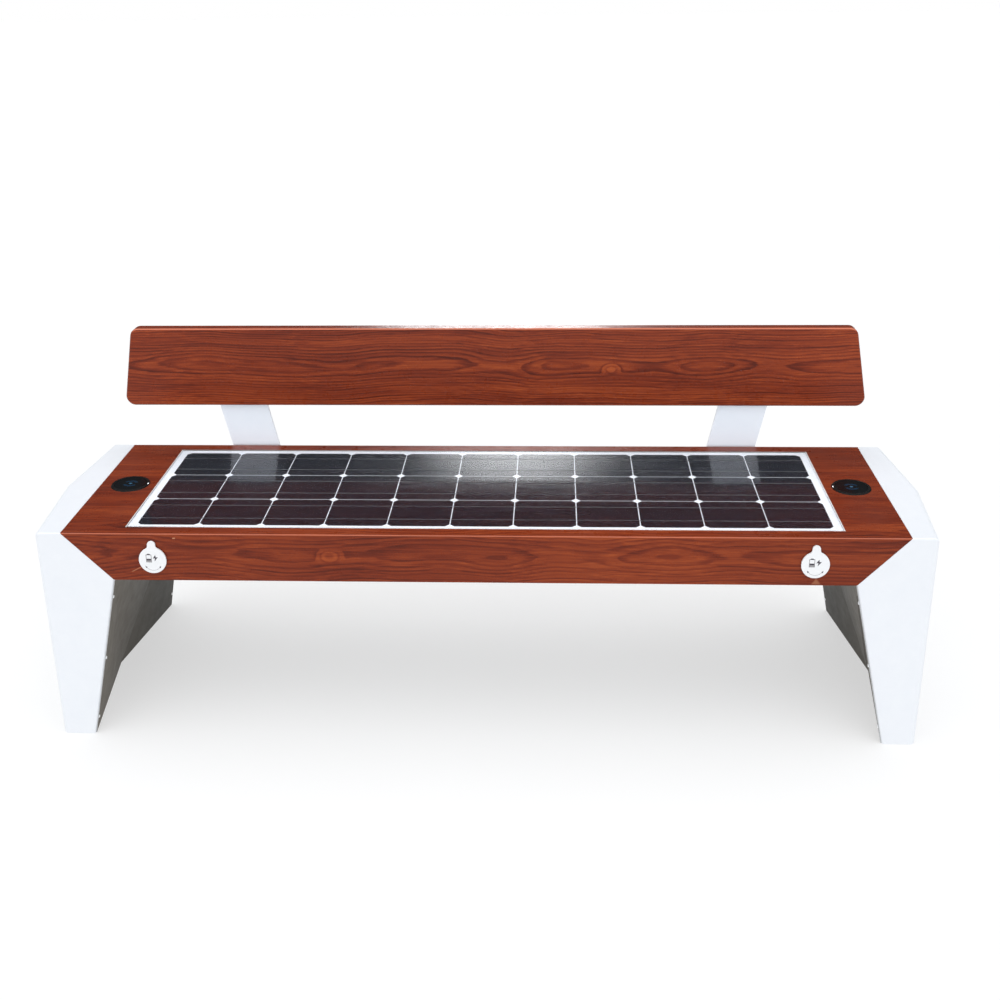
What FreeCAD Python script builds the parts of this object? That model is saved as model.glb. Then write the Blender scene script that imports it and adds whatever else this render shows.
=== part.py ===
import FreeCAD, Part
import math
import os
import re
import Sketcher
from FreeCAD import Placement, Rotation, Vector

# Solar charging bench, in millimetres.
# X runs along the seat, Y points to the rear, Z points up.
# The origin lies on the floor, under the middle of the seat.

# Driving sizes, each written once
SIZES = {
    # Seat and apron
    "seat_height": 450,
    "seat_border": 33,
    "seat_end": 124,
    "apron_drop": 99,
    "mitre_run": 98,
    "wood_sheet": 3,
    "fold_round": 3,
    "return_lip": 16,
    "joint_gap": 0.6,
    # Legs
    "leg_spread": 41,
    "wing_width": 53,
    "ridge_swell": 22,
    "foot_inset": 18,
    "knee_swell": 39,
    "leg_sheet": 3,
    "leg_bend": 12,
    "flange_bend": 2,
    "leg_flange": 20,
    "liner_sheet": 2,
    "liner_setback": 3.5,
    "rivet_inset": 8,
    "rivet_low": 36,
    "rivet_high": 41,
    "rivet_hole": 4.2,
    "rivet_head": 8,
    "rivet_rise": 1.8,
    "foot_plate": 6,
    "anchor_hole": 13,
    "anchor_inset": 42,
    "anchor_border": 22,
    # Access door in the right leg's liner
    "door_sheet": 1.5,
    "door_front": 201,
    "door_rear": 92,
    "door_foot": 24,
    "door_inset": 9,
    # Frame under the seat
    "rail_width": 40,
    "rail_tall": 25,
    "rail_border": 42,
    "rail_run": 14,
    "tube_wall": 2.5,
    "cross_width": 30,
    "cross_count": 4,
    "beam_width": 40,
    "beam_tall": 30,
    "frame_bolt": 8,
    "frame_bolt_gap": 20,
    "bolt_clearance": 0.5,
    "seat_clearance": 0.3,
    "cover_sheet": 1.5,
    "cover_overlap": 12,
    "cover_end": 10,
    "cover_screw": 4,
    "cover_screw_spacing": 300,
    "cover_screw_count": 4,
    # Solar panel
    "panel_end": 15.5,
    "panel_border": 13.5,
    "glass_sheet": 3.2,
    "glass_edge": 0.6,
    "cell_size": 125,
    "cell_round": 165,
    "cell_gap": 2,
    "cell_columns": 11,
    "cell_rows": 3,
    "cell_sheet": 0.3,
    "ribbon_width": 1.8,
    "ribbon_sheet": 0.2,
    "back_sheet": 1,
    "seal_width": 2,
    "seal_lip": 15,
    "tray_sheet": 2,
    "box_length": 110,
    "box_width": 90,
    "box_depth": 24,
    "box_round": 5,
    # Charge controller and battery
    "control_length": 140,
    "control_width": 90,
    "control_depth": 34,
    "fin_count": 7,
    "fin_spacing": 12,
    "fin_slot": 6,
    "fin_depth": 14,
    "battery_thick": 70,
    "battery_length": 180,
    "battery_tall": 160,
    "battery_round": 4,
    "battery_base": 150,
    "terminal_size": 12,
    "terminal_rise": 8,
    "terminal_gap": 110,
    "shelf_sheet": 3,
    "shelf_length": 200,
    "shelf_rise": 40,
    # Wireless chargers
    "charger_inset": 65,
    "charger_y": 6,
    "charger_size": 83,
    "charger_barrel": 73,
    "charger_depth": 30,
    "bezel_rise": 2,
    "bezel_edge": 1.6,
    "pad_size": 68,
    "pad_edge": 0.5,
    "pad_sheet": 2,
    "charger_nut": 82,
    "nut_tall": 9,
    "lamp_length": 6,
    "lamp_width": 2,
    "lamp_orbit": 38.6,
    "lamp_rise": 0.4,
    # USB outlets and their covers
    "usb_inset": 183.5,
    "usb_drop": 54.5,
    "usb_flange": 44,
    "flange_rise": 1.8,
    "usb_barrel": 29,
    "usb_depth": 34,
    "port_width": 13.2,
    "port_tall": 6,
    "port_spacing": 11,
    "port_depth": 12,
    "usb_nut": 38,
    "usb_nut_tall": 8,
    "cover_size": 55,
    "tab_size": 16,
    "tab_rise": 33,
    "tab_fillet": 7,
    "cover_thick": 3,
    "cover_gap": 0.3,
    "pivot_shank": 5,
    "pivot_sink": 2,
    "pivot_collar": 9.5,
    "pivot_nut": 1.4,
    "running_gap": 0.05,
    # Backrest
    "board_gap": 98,
    "board_tall": 182,
    "board_overhang": 8,
    "board_taper": 37,
    "board_depth": 25,
    "board_sheet": 2,
    "board_lip": 15,
    "board_round": 20,
    "board_edge": 2.5,
    "rear_sheet": 1.5,
    "rear_inset": 5,
    "bar_tall": 30,
    "bar_low": 40,
    "bar_spacing": 90,
    "bar_inset": 49,
    "support_inset": 284.5,
    "support_lean": 0.2,
    "support_width": 110,
    "support_sheet": 6,
    "support_setback": 12,
    "support_drop": 86,
    "support_rise": 158,
    "support_round": 8,
    "support_bolt": 10,
    "bolt_drop": 28,
    "bolt_spacing": 38,
    "spacer_size": 22,
    "backing_sheet": 5,
    "backing_width": 96,
    "backing_tall": 72,
    "board_bolt": 8,
    "board_bolt_gap": 60,
    "rear_screw": 4,
    "rear_screw_count": 6,
    # How far a cutting shape runs past what it cuts
    "overrun": 5,
    # Sides of what stands for a round: a visible ring or disc, and a hidden barrel or pin
    "round_sides": 36,
    "barrel_sides": 16,
}

# Sizes that follow from the driving ones: the panel follows its cells, the seat follows the
# panel, and the legs, the frame and the backrest follow the seat
DERIVED = {
    "panel_length": "cell_columns * (cell_size + cell_gap) + 2 * panel_end",
    "panel_width": "cell_rows * (cell_size + cell_gap) + 2 * panel_border",
    "wood_length": "panel_length + 2 * seat_end",
    "seat_depth": "panel_width + 2 * seat_border",
    "corner_reach": "wood_length / 2 + wing_width",
    "ridge_reach": "corner_reach + ridge_swell",
    "foot_reach": "wood_length / 2 - foot_inset",
    "knee_ridge": "foot_reach + knee_swell",
    "rivet_spacing": "(seat_height - apron_drop - rivet_low - rivet_high) / 2",
    "anchor_x": "foot_reach + anchor_inset",
    "anchor_y": "seat_depth / 2 - anchor_border",
    "rail_y": "seat_depth / 2 - rail_border",
    "rail_reach": "wood_length / 2 + rail_run",
    "cross_spacing": "panel_length / cross_count",
    "charger_x": "wood_length / 2 - charger_inset",
    "usb_x": "wood_length / 2 - usb_inset",
    "board_foot": "wood_length + 2 * board_overhang",
    "board_top": "board_foot - 2 * board_taper",
    "bar_reach": "board_top / 2 - bar_inset",
    "support_x": "wood_length / 2 - support_inset",
}

doc = FreeCAD.newDocument("solar_charging_bench")
sheet = doc.addObject("Spreadsheet::Sheet", "Sizes")
for row, (name, value) in enumerate((SIZES | DERIVED).items(), start=1):
    sheet.set(f"A{row}", name.replace("_", " "))
    sheet.set(f"B{row}", f"={value}" if name in DERIVED else str(value))
    sheet.setAlias(f"B{row}", name)
doc.recompute()

nodes = []


def link(formula):
    """The formula with every size's name pointed at its cell in the sheet."""
    return re.sub(
        r"[a-z_]+[a-z0-9_]*",
        lambda word: f"Sizes.{word[0]}" if word[0] in SIZES | DERIVED else word[0],
        str(formula),
    )


def amount(formula):
    """The number that a formula of sizes gives."""
    return float(sheet.evalExpression(link(formula)))


def named(thing, label):
    """Labels a finished sub-part and lists it for export."""
    thing.Label = label
    nodes.append(thing)
    return thing


def new_body(name):
    return doc.addObject("PartDesign::Body", name)


def place(thing, x="0", y="0", z="0"):
    """Binds a sub-part's place to formulas."""
    thing.setExpression("Placement.Base.x", link(x))
    thing.setExpression("Placement.Base.y", link(y))
    thing.setExpression("Placement.Base.z", link(z))


def draw(body, plane, *outlines, lift="0"):
    """A sketch on one of the body's own planes, moved along the plane's normal by lift.

    An outline is a list of corners (across, up), or a circle ("circle", across, up, size).
    A corner with a third entry starts an arc of that radius, bulging out of a
    counter-clockwise outline.
    """
    sketch = body.newObject("Sketcher::SketchObject", f"{body.Name}_sketch")
    support = [part for part in body.Origin.OriginFeatures if part.Role == plane][0]
    sketch.AttachmentSupport = [(support, "")]
    sketch.MapMode = "FlatFace"
    sketch.setExpression("AttachmentOffset.Base.z", link(lift))
    for outline in outlines:
        if outline[0] == "circle":
            draw_circle(sketch, *outline[1:])
        else:
            draw_corners(sketch, outline)
    return sketch


def bind(sketch, kind, place_of, formula):
    """Adds one driving dimension to a sketch and binds it to a formula."""
    index = sketch.addConstraint(Sketcher.Constraint(kind, *place_of, amount(formula)))
    title = f"size{index}"
    sketch.renameConstraint(index, title)
    sketch.setExpression(f"Constraints.{title}", link(formula))


def draw_circle(sketch, across, up, size):
    centre = Vector(amount(across), amount(up), 0)
    circle = sketch.addGeometry(Part.Circle(centre, Vector(0, 0, 1), amount(size) / 2))
    bind(sketch, "Diameter", (circle,), size)
    bind(sketch, "DistanceX", (-1, 1, circle, 3), across)
    bind(sketch, "DistanceY", (-1, 1, circle, 3), up)


def draw_corners(sketch, corners):
    spots = [Vector(amount(corner[0]), amount(corner[1]), 0) for corner in corners]
    edges = []
    for corner, start, end in zip(corners, spots, spots[1:] + spots[:1]):
        if len(corner) == 3:
            edges.append(sketch.addGeometry(bulge(start, end, amount(corner[2]))))
        else:
            edges.append(sketch.addGeometry(Part.LineSegment(start, end)))
    for edge, following in zip(edges, edges[1:] + edges[:1]):
        sketch.addConstraint(Sketcher.Constraint("Coincident", edge, 2, following, 1))
    for corner, edge in zip(corners, edges):
        bind(sketch, "DistanceX", (-1, 1, edge, 1), corner[0])
        bind(sketch, "DistanceY", (-1, 1, edge, 1), corner[1])
        if len(corner) == 3:
            bind(sketch, "Radius", (edge,), corner[2])


def bulge(start, end, radius):
    """An arc from start to end that bulges to the right of its chord."""
    chord = end - start
    outward = Vector(chord.y, -chord.x, 0).normalize()
    rise = radius - math.sqrt(radius**2 - (chord.Length / 2) ** 2)
    return Part.Arc(start, (start + end) / 2 + outward * rise, end)


def pad(body, sketch, length, back=False, both=False):
    """Adds material along the sketch's normal, against it, or half each way."""
    feature = body.newObject("PartDesign::Pad", f"{body.Name}_pad")
    feature.Profile = sketch
    feature.SideType = "Symmetric" if both else "One side"
    feature.Reversed = back
    feature.setExpression("Length", link(length))
    return feature


def pocket(body, sketch, length=None, back=False, both=False):
    """Removes material against the sketch's normal, or along it where back is set."""
    feature = body.newObject("PartDesign::Pocket", f"{body.Name}_pocket")
    feature.Profile = sketch
    feature.SideType = "Symmetric" if both else "One side"
    feature.Reversed = back
    if length is None:
        feature.Type = "ThroughAll"
    else:
        feature.setExpression("Length", link(length))
    return feature


def soften(body, radius, wanted, kind="Fillet"):
    """Rounds or chamfers the edges of the body's last feature that wanted accepts."""
    doc.recompute()
    base = body.Tip
    picked = [f"Edge{i}" for i, edge in enumerate(base.Shape.Edges, start=1) if wanted(edge)]
    feature = body.newObject(f"PartDesign::{kind}", f"{body.Name}_{kind.lower()}")
    feature.Base = (base, picked)
    feature.setExpression("Radius" if kind == "Fillet" else "Size", link(radius))
    return feature


def repeat(body, feature, axis, span, count, second=None):
    """A linear pattern of one feature, or a grid with a second (axis, span, count)."""
    rows = [(axis, span, count)] + ([second] if second else [])
    patterns = []
    for role, length, number in rows:
        pattern = body.newObject("PartDesign::LinearPattern", f"{body.Name}_row")
        line = [part for part in body.Origin.OriginFeatures if part.Role == role][0]
        pattern.Direction = (line, [""])
        pattern.setExpression("Length", link(length))
        pattern.setExpression("Occurrences", link(number))
        patterns.append(pattern)
    if second is None:
        patterns[0].Originals = [feature]
        body.Tip = patterns[0]
        return patterns[0]
    grid = body.newObject("PartDesign::MultiTransform", f"{body.Name}_grid")
    grid.Originals = [feature]
    grid.Transformations = patterns
    body.Tip = grid
    return grid


def mirrored(source, label):
    """The same piece on the left side of the bench."""
    copy = doc.addObject("Part::Mirroring", label)
    copy.Source = source
    copy.Base = Vector(0, 0, 0)
    copy.Normal = Vector(1, 0, 0)
    return named(copy, label)


def shaped(shape, label):
    """A sub-part whose form is set by Part's own functions."""
    feature = doc.addObject("Part::Feature", label)
    feature.Shape = shape
    return named(feature, label)


def unlisted(shape, name):
    """A shape that is placed before it is listed as a sub-part."""
    feature = doc.addObject("Part::Feature", name)
    feature.Shape = shape.removeSplitter()
    return feature


def box(label, length, width, height, x, y, z):
    """A plain plate or block, placed by its lowest corner."""
    block = doc.addObject("Part::Box", label)
    block.setExpression("Length", link(length))
    block.setExpression("Width", link(width))
    block.setExpression("Height", link(height))
    place(block, x, y, z)
    return named(block, label)


def rectangle(low_across, high_across, low_up, high_up):
    return [
        (low_across, low_up),
        (high_across, low_up),
        (high_across, high_up),
        (low_across, high_up),
    ]


def facets(across, up, size, sides=6, corners=False):
    """The outline of a small hole or stud with flat sides, size across flats or corners.

    Round parts that repeat, and the holes that they pass through, have few sides this way.
    A hole is sized across its flats and what stands in it across its corners.
    """
    sides = round(amount(sides))
    reach = 0.5 if corners else 0.5 / math.cos(math.pi / sides)
    turns = [2 * math.pi * i / sides for i in range(sides)]
    return [
        (
            f"{across} + {reach * math.cos(turn):.6f} * ({size})",
            f"{up} + {reach * math.sin(turn):.6f} * ({size})",
        )
        for turn in turns
    ]


def prism(points, along):
    """A straight solid on a flat outline of points."""
    return Part.Face(Part.makePolygon(points + points[:1])).extrude(along)


def closed(rings):
    """The solid that flat faces, each a ring of points, close off."""
    faces = [Part.Face(Part.makePolygon(ring + ring[:1])) for ring in rings]
    solid = Part.makeSolid(Part.makeShell(faces))
    if solid.Volume < 0:
        solid.reverse()
    return solid


def circle_points(size, sides, height=0):
    turns = [2 * math.pi * i / sides for i in range(sides)]
    return [Vector(size / 2 * math.cos(t), size / 2 * math.sin(t), height) for t in turns]


def bar(start, axis, flats, length, sides=6):
    """A bar with flat sides, as of a bolt's head or a nut, standing on start along axis."""
    shape = prism(
        circle_points(flats / math.cos(math.pi / sides), sides), Vector(0, 0, length)
    )
    shape.Placement = Placement(start, Rotation(Vector(0, 0, 1), axis))
    return shape


def stem(start, axis, size, length, sides=6):
    """A fastener's shank with few sides, size across its corners, so it clears its hole."""
    return bar(start, axis, size * math.cos(math.pi / sides), length, sides)


def button(start, axis, size, tip, rise, sides=6):
    """The low head of a screw or rivet, narrower at its tip."""
    low, high = circle_points(size, sides), circle_points(tip, sides, rise)
    walls = [[low[i - 1], low[i], high[i], high[i - 1]] for i in range(sides)]
    shape = closed([low, high] + walls)
    shape.Placement = Placement(start, Rotation(Vector(0, 0, 1), axis))
    return shape


# Places that several sub-parts share

SLOPE = "(leg_spread / seat_height)"
TILT = "(sqrt(seat_height ^ 2 + leg_spread ^ 2))"
CHEVRON = "((ridge_reach - corner_reach) / (seat_depth / 2))"
KNEE = "((knee_ridge - foot_reach) / (seat_depth / 2 + leg_spread))"
APRON_FOOT = "(seat_height - apron_drop)"
GLASS_FOOT = "(seat_height - glass_sheet)"
CELL_TOP = f"({GLASS_FOOT} - ribbon_sheet)"
BACK_TOP = f"({CELL_TOP} - cell_sheet)"
BACK_FOOT = f"({BACK_TOP} - back_sheet)"
TRAY_FOOT = f"({BACK_FOOT} - tray_sheet)"
RAIL_FOOT = f"({TRAY_FOOT} - rail_tall)"
BEAM_FOOT = f"({RAIL_FOOT} - beam_tall)"
CELL_PITCH = "(cell_size + cell_gap)"
BEAM_X = "(rail_reach - beam_width / 2)"
PANEL_HOLE_X = "(panel_length / 2 + seal_width)"
PANEL_HOLE_Y = "(panel_width / 2 + seal_width)"
SUPPORT_FRONT = "(seat_depth / 2 + support_setback)"
BOARD_FOOT = "(seat_height + board_gap)"
BOARD_BACK = "(seat_depth / 2 + board_depth)"


def face_y(drop):
    """How far the sloping apron and leg faces stand from the middle, this far below the seat."""
    return f"(seat_depth / 2 + ({drop}) * {SLOPE})"


def support_at(height):
    """The middle of the right support plate at this height above the floor."""
    return f"(support_x + support_lean * (({height}) - seat_height))"


# Seat

def seat_top():
    """Folded sheet: top, sloping aprons and their lips, mitred at both ends."""
    body = new_body("seat_top")
    lip_in = f"({face_y('apron_drop')} - return_lip)"
    lip_top = f"({APRON_FOOT} + wood_sheet)"
    half = [
        (face_y("0"), "seat_height"),
        (face_y("apron_drop"), APRON_FOOT),
        (lip_in, APRON_FOOT),
        (lip_in, lip_top),
        (f"{face_y('apron_drop - wood_sheet')} - wood_sheet", lip_top),
        (f"{face_y('wood_sheet')} - wood_sheet", "seat_height - wood_sheet"),
    ]
    other = [(f"-({across})", up) for across, up in reversed(half)]
    pad(body, draw(body, "YZ_Plane", half + other), "wood_length", both=True)
    top = amount("seat_height")
    edge = amount("seat_depth / 2")
    soften(
        body,
        "fold_round",
        lambda line: line.Length > 2.5 * edge
        and all(abs(v.Z - top) < 0.01 and abs(abs(v.Y) - edge) < 0.01 for v in line.Vertexes),
    )
    for side in ("", "-"):
        mitre = [
            (f"{side}(wood_length / 2 - joint_gap)", "seat_height"),
            (f"{side}(wood_length / 2 - joint_gap - mitre_run)", APRON_FOOT),
            (f"{side}(wood_length / 2 + overrun)", APRON_FOOT),
            (f"{side}(wood_length / 2 + overrun)", "seat_height"),
        ]
        pocket(body, draw(body, "XZ_Plane", mitre), both=True)
    opening = rectangle(
        f"-{PANEL_HOLE_X}", PANEL_HOLE_X, f"-{PANEL_HOLE_Y}", PANEL_HOLE_Y
    )
    pocket(body, draw(body, "XY_Plane", opening, lift="seat_height"))
    charger_hole = "charger_barrel + 2 * seat_clearance"
    outlet_hole = "usb_barrel + 3 * bolt_clearance"
    for side in ("", "-"):
        hole = facets(f"{side}charger_x", "charger_y", charger_hole, "barrel_sides")
        pocket(body, draw(body, "XY_Plane", hole, lift="seat_height"))
        hole = facets(f"{side}usb_x", "seat_height - usb_drop", outlet_hole, "barrel_sides")
        pocket(body, draw(body, "XZ_Plane", hole), back=True)
    pivot_z = f"seat_height - usb_drop + tab_rise * seat_height / {TILT}"
    front = []
    rear = []
    for side in ("", "-"):
        front.append(facets(f"{side}usb_x", pivot_z, "pivot_shank + 2 * bolt_clearance"))
        for height in bolt_heights():
            hole = "support_bolt + 2 * bolt_clearance"
            rear.append(facets(f"{side}{support_at(height)}", height, hole))
    pocket(body, draw(body, "XZ_Plane", *front), back=True)
    pocket(body, draw(body, "XZ_Plane", *rear))
    lip_y = f"({face_y('apron_drop')} - return_lip / 2)"
    screws = [
        facets(f"{i} * cover_screw_spacing", f"{side}{lip_y}", "cover_screw + bolt_clearance")
        for i in screw_steps()
        for side in ("", "-")
    ]
    pocket(body, draw(body, "XY_Plane", *screws, lift=lip_top), "wood_sheet")
    return named(body, "seat_top")


def bolt_heights():
    """Heights of the two bolts that hold each support plate to the rear apron."""
    return ("(seat_height - bolt_drop)", "(seat_height - bolt_drop - bolt_spacing)")


def screw_steps():
    """Steps along the lip, from its middle, at which the underside cover is screwed."""
    count = round(amount("cover_screw_count"))
    return [i - (count - 1) / 2 for i in range(count)]


def bottom_cover():
    """Sheet that closes the seat from below and lies on the lips of the aprons."""
    body = new_body("bottom_cover")
    reach = "(wood_length / 2 - mitre_run - cover_end)"
    side = f"({face_y('apron_drop')} - return_lip + cover_overlap)"
    plate = rectangle(f"-{reach}", reach, f"-{side}", side)
    lip_y = f"({face_y('apron_drop')} - return_lip / 2)"
    holes = [
        facets(f"{i} * cover_screw_spacing", f"{sign}{lip_y}", "cover_screw + bolt_clearance")
        for i in screw_steps()
        for sign in ("", "-")
    ]
    base = f"{APRON_FOOT} + wood_sheet"
    pad(body, draw(body, "XY_Plane", plate, *holes, lift=base), "cover_sheet")
    return named(body, "bottom_cover")


def cover_screws():
    """Pan-head screws driven up through the lips into the underside cover."""
    size = amount("cover_screw")
    foot = amount(APRON_FOOT)
    length = amount("wood_sheet + cover_sheet + overrun")
    across = amount(f"{face_y('apron_drop')} - return_lip / 2")
    screws = []
    for step in screw_steps():
        for side in (1, -1):
            at = Vector(step * amount("cover_screw_spacing"), side * across, foot)
            shank = stem(at, Vector(0, 0, 1), size, length)
            head = button(at, Vector(0, 0, -1), 2 * size, 1.5 * size, size / 2)
            screws.append(shank.fuse(head).removeSplitter())
    return shaped(Part.makeCompound(screws), "cover_screws")


# Frame under the seat

def rail(label, side):
    """A rectangular tube along the seat, with holes for the frame bolts in its lower wall."""
    body = new_body(label)
    centre = f"{side}rail_y"
    outer = rectangle(
        f"{centre} - rail_width / 2", f"{centre} + rail_width / 2", RAIL_FOOT, TRAY_FOOT
    )
    inner = rectangle(
        f"{centre} - rail_width / 2 + tube_wall",
        f"{centre} + rail_width / 2 - tube_wall",
        f"{RAIL_FOOT} + tube_wall",
        f"{TRAY_FOOT} - tube_wall",
    )
    pad(body, draw(body, "YZ_Plane", outer, inner), "2 * rail_reach", both=True)
    holes = [
        facets(
            f"{end}{BEAM_X}",
            f"{centre} + {step} * frame_bolt_gap",
            "frame_bolt + bolt_clearance",
        )
        for end in ("", "-")
        for step in (0.5, -0.5)
    ]
    pocket(body, draw(body, "XY_Plane", *holes, lift=f"{RAIL_FOOT} + tube_wall"), "tube_wall")
    return named(body, label)


def cross_members():
    """Tubes between the two rails, in an even row."""
    body = new_body("cross_members")
    start = "-(cross_count - 1) * cross_spacing / 2"
    outer = rectangle(
        f"{start} - cross_width / 2", f"{start} + cross_width / 2", RAIL_FOOT, TRAY_FOOT
    )
    inner = rectangle(
        f"{start} - cross_width / 2 + tube_wall",
        f"{start} + cross_width / 2 - tube_wall",
        f"{RAIL_FOOT} + tube_wall",
        f"{TRAY_FOOT} - tube_wall",
    )
    first = pad(
        body, draw(body, "XZ_Plane", outer, inner), "2 * rail_y - rail_width", both=True
    )
    repeat(body, first, "X_Axis", "(cross_count - 1) * cross_spacing", "cross_count")
    return named(body, "cross_members")


def leg_beam():
    """Tube across the leg that carries both rails, between the sloping leg faces."""
    body = new_body("right_leg_beam")
    top = RAIL_FOOT
    drop_top = f"(seat_height - {RAIL_FOOT})"
    drop_foot = f"(seat_height - {BEAM_FOOT})"
    reach_top = f"({face_y(drop_top)} - leg_sheet - seat_clearance)"
    reach_foot = f"({face_y(drop_foot)} - leg_sheet - seat_clearance)"
    outline = [
        (f"-{reach_foot}", BEAM_FOOT),
        (reach_foot, BEAM_FOOT),
        (reach_top, top),
        (f"-{reach_top}", top),
    ]
    start = f"{BEAM_X} - beam_width / 2"
    pad(body, draw(body, "YZ_Plane", outline, lift=start), "beam_width")
    bore = rectangle(
        f"{BEAM_X} - beam_width / 2 + tube_wall",
        f"{BEAM_X} + beam_width / 2 - tube_wall",
        f"{BEAM_FOOT} + tube_wall",
        f"{top} - tube_wall",
    )
    pocket(body, draw(body, "XZ_Plane", bore), both=True)
    holes = [
        facets(BEAM_X, f"{side}rail_y + {step} * frame_bolt_gap", "frame_bolt + bolt_clearance")
        for side in ("", "-")
        for step in (0.5, -0.5)
    ]
    pocket(body, draw(body, "XY_Plane", *holes, lift=top))
    named(body, "right_leg_beam")
    mirrored(body, "left_leg_beam")


def frame_bolts():
    """Bolts from below through the leg beams into the rails."""
    size = amount("frame_bolt")
    foot = amount(BEAM_FOOT)
    length = amount("beam_tall + 3 * tube_wall")
    bolts = []
    for x in (amount(BEAM_X), -amount(BEAM_X)):
        for rail_side in (1, -1):
            for step in (0.5, -0.5):
                y = rail_side * amount("rail_y") + step * amount("frame_bolt_gap")
                at = Vector(x, y, foot)
                shank = stem(at, Vector(0, 0, 1), size, length)
                head = bar(at, Vector(0, 0, -1), 1.6 * size, 0.65 * size)
                bolts.append(shank.fuse(head))
    return shaped(Part.makeCompound(bolts), "frame_bolts")


# Legs

def knee(shift):
    """The space on the inner side of the right leg, as a solid with a three-sided top.

    One facet leans from the apron's foot out to the ridge at the floor. Two more join it to
    the leg's front and rear faces. Shift moves the facets outward.
    """
    reach = amount("seat_depth")
    top = amount(APRON_FOOT)
    top_x = amount("wood_length / 2 - mitre_run") + shift
    ridge = amount("knee_ridge") + shift
    corner_y = amount(face_y("apron_drop"))
    slant = amount(KNEE)
    outer_top = top_x - slant * (reach - corner_y)
    outer_foot = ridge - slant * reach
    roof = [
        Vector(0, -reach, top),
        Vector(outer_top, -reach, top),
        Vector(top_x, -corner_y, top),
        Vector(top_x, corner_y, top),
        Vector(outer_top, reach, top),
        Vector(0, reach, top),
    ]
    floor = [
        Vector(0, -reach, 0),
        Vector(outer_foot, -reach, 0),
        Vector(ridge, 0, 0),
        Vector(outer_foot, reach, 0),
        Vector(0, reach, 0),
    ]
    sides = [
        [roof[0], roof[1], floor[1], floor[0]],
        [roof[1], roof[2], floor[2], floor[1]],
        [roof[2], roof[3], floor[2]],
        [roof[3], roof[4], floor[3], floor[2]],
        [roof[4], roof[5], floor[4], floor[3]],
        [roof[5], roof[0], floor[0], floor[4]],
    ]
    return closed([roof, floor] + sides)


def slab(half_top, half_foot, low, high, x_start, x_end):
    """A block along X whose front and rear lean: its half depths at the seat's top and the floor."""
    height = amount("seat_height")

    def half(z):
        return half_foot + (half_top - half_foot) * z / height

    outline = [
        Vector(x_start, -half(low), low),
        Vector(x_start, half(low), low),
        Vector(x_start, half(high), high),
        Vector(x_start, -half(high), high),
    ]
    return prism(outline, Vector(x_end - x_start, 0, 0))


def leg_block(inset):
    """The right leg's solid form, with every sheet face moved inward by inset."""
    half_top = amount(face_y("0")) - inset
    half_foot = amount(face_y("seat_height")) - inset
    under = -amount("overrun") if inset else 0
    roof = amount("seat_height") - inset
    block = slab(half_top, half_foot, under, roof, 0, amount("ridge_reach + overrun"))
    reach = amount("seat_depth")
    chevron = amount(CHEVRON)
    ridge = amount("ridge_reach") - inset
    plan = [
        Vector(0, -reach, under),
        Vector(ridge - chevron * reach, -reach, under),
        Vector(ridge, 0, under),
        Vector(ridge - chevron * reach, reach, under),
        Vector(0, reach, under),
    ]
    block = block.common(prism(plan, Vector(0, 0, amount("seat_height") - under)))
    run = amount("mitre_run")
    drop = amount("apron_drop")
    shift = inset * math.hypot(run, drop) / drop
    height = amount("seat_height")
    shoulder = amount("wood_length / 2") + shift
    over = amount("overrun")
    mitre = [
        Vector(0, -reach, height - drop),
        Vector(shoulder - run, -reach, height - drop),
        Vector(shoulder + over * run / drop, -reach, height + over),
        Vector(0, -reach, height + over),
    ]
    block = block.cut(prism(mitre, Vector(0, 2 * reach, 0)))
    lower = knee(inset)
    block = block.cut(lower)
    if under:
        lower.translate(Vector(0, 0, under))
        block = block.cut(lower)
    return block.removeSplitter()


def rounded_leg(inset):
    """The leg's form with its outer bends rounded and the flanges' tight bends flattened."""
    block = leg_block(inset)
    height = amount("seat_height") - inset
    outer_x = amount(f"ridge_reach - {CHEVRON} * {face_y('seat_height')}") - inset - 1
    inner_top = amount("wood_length / 2 - mitre_run")
    foot = amount("foot_reach")

    def outer_bend(edge):
        ends = edge.Vertexes
        on_floor = all(v.Z < 1 for v in ends)
        on_ridge = all(abs(v.Y) < 1 for v in ends)
        return all(v.X > outer_x for v in ends) and not on_floor and not on_ridge

    def flange_edge(edge):
        ends = sorted(edge.Vertexes, key=lambda v: v.Z)
        leaning = len(ends) == 2 and ends[1].Z - ends[0].Z > height / 2
        return leaning and inner_top - 1 < ends[1].X < foot and abs(ends[0].Y) > 1

    block = block.makeFillet(
        amount("leg_bend") - inset, [edge for edge in block.Edges if outer_bend(edge)]
    )
    flange = amount("flange_bend") - inset
    if flange > 0:
        block = block.makeChamfer(flange, [edge for edge in block.Edges if flange_edge(edge)])
    fold = amount("fold_round") - inset
    if fold > 0:
        folds = [
            edge
            for edge in block.Edges
            if len(edge.Vertexes) == 2
            and all(abs(v.Z - height) < 0.01 for v in edge.Vertexes)
            and abs(edge.Vertexes[0].Y - edge.Vertexes[1].Y) < 0.01
            and edge.Length > amount("leg_bend")
        ]
        block = block.makeFillet(fold, folds)
    return block


def facet_normal():
    """The direction square to the front facet of the right knee, pointing into the leg."""
    along = Vector(amount(KNEE), 1, 0)
    down = Vector(
        amount("foot_reach - wood_length / 2 + mitre_run"),
        -amount(f"{SLOPE} * {APRON_FOOT}"),
        -amount(APRON_FOOT),
    )
    normal = along.cross(down)
    return normal.normalize() if normal.x > 0 else -normal.normalize()


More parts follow.
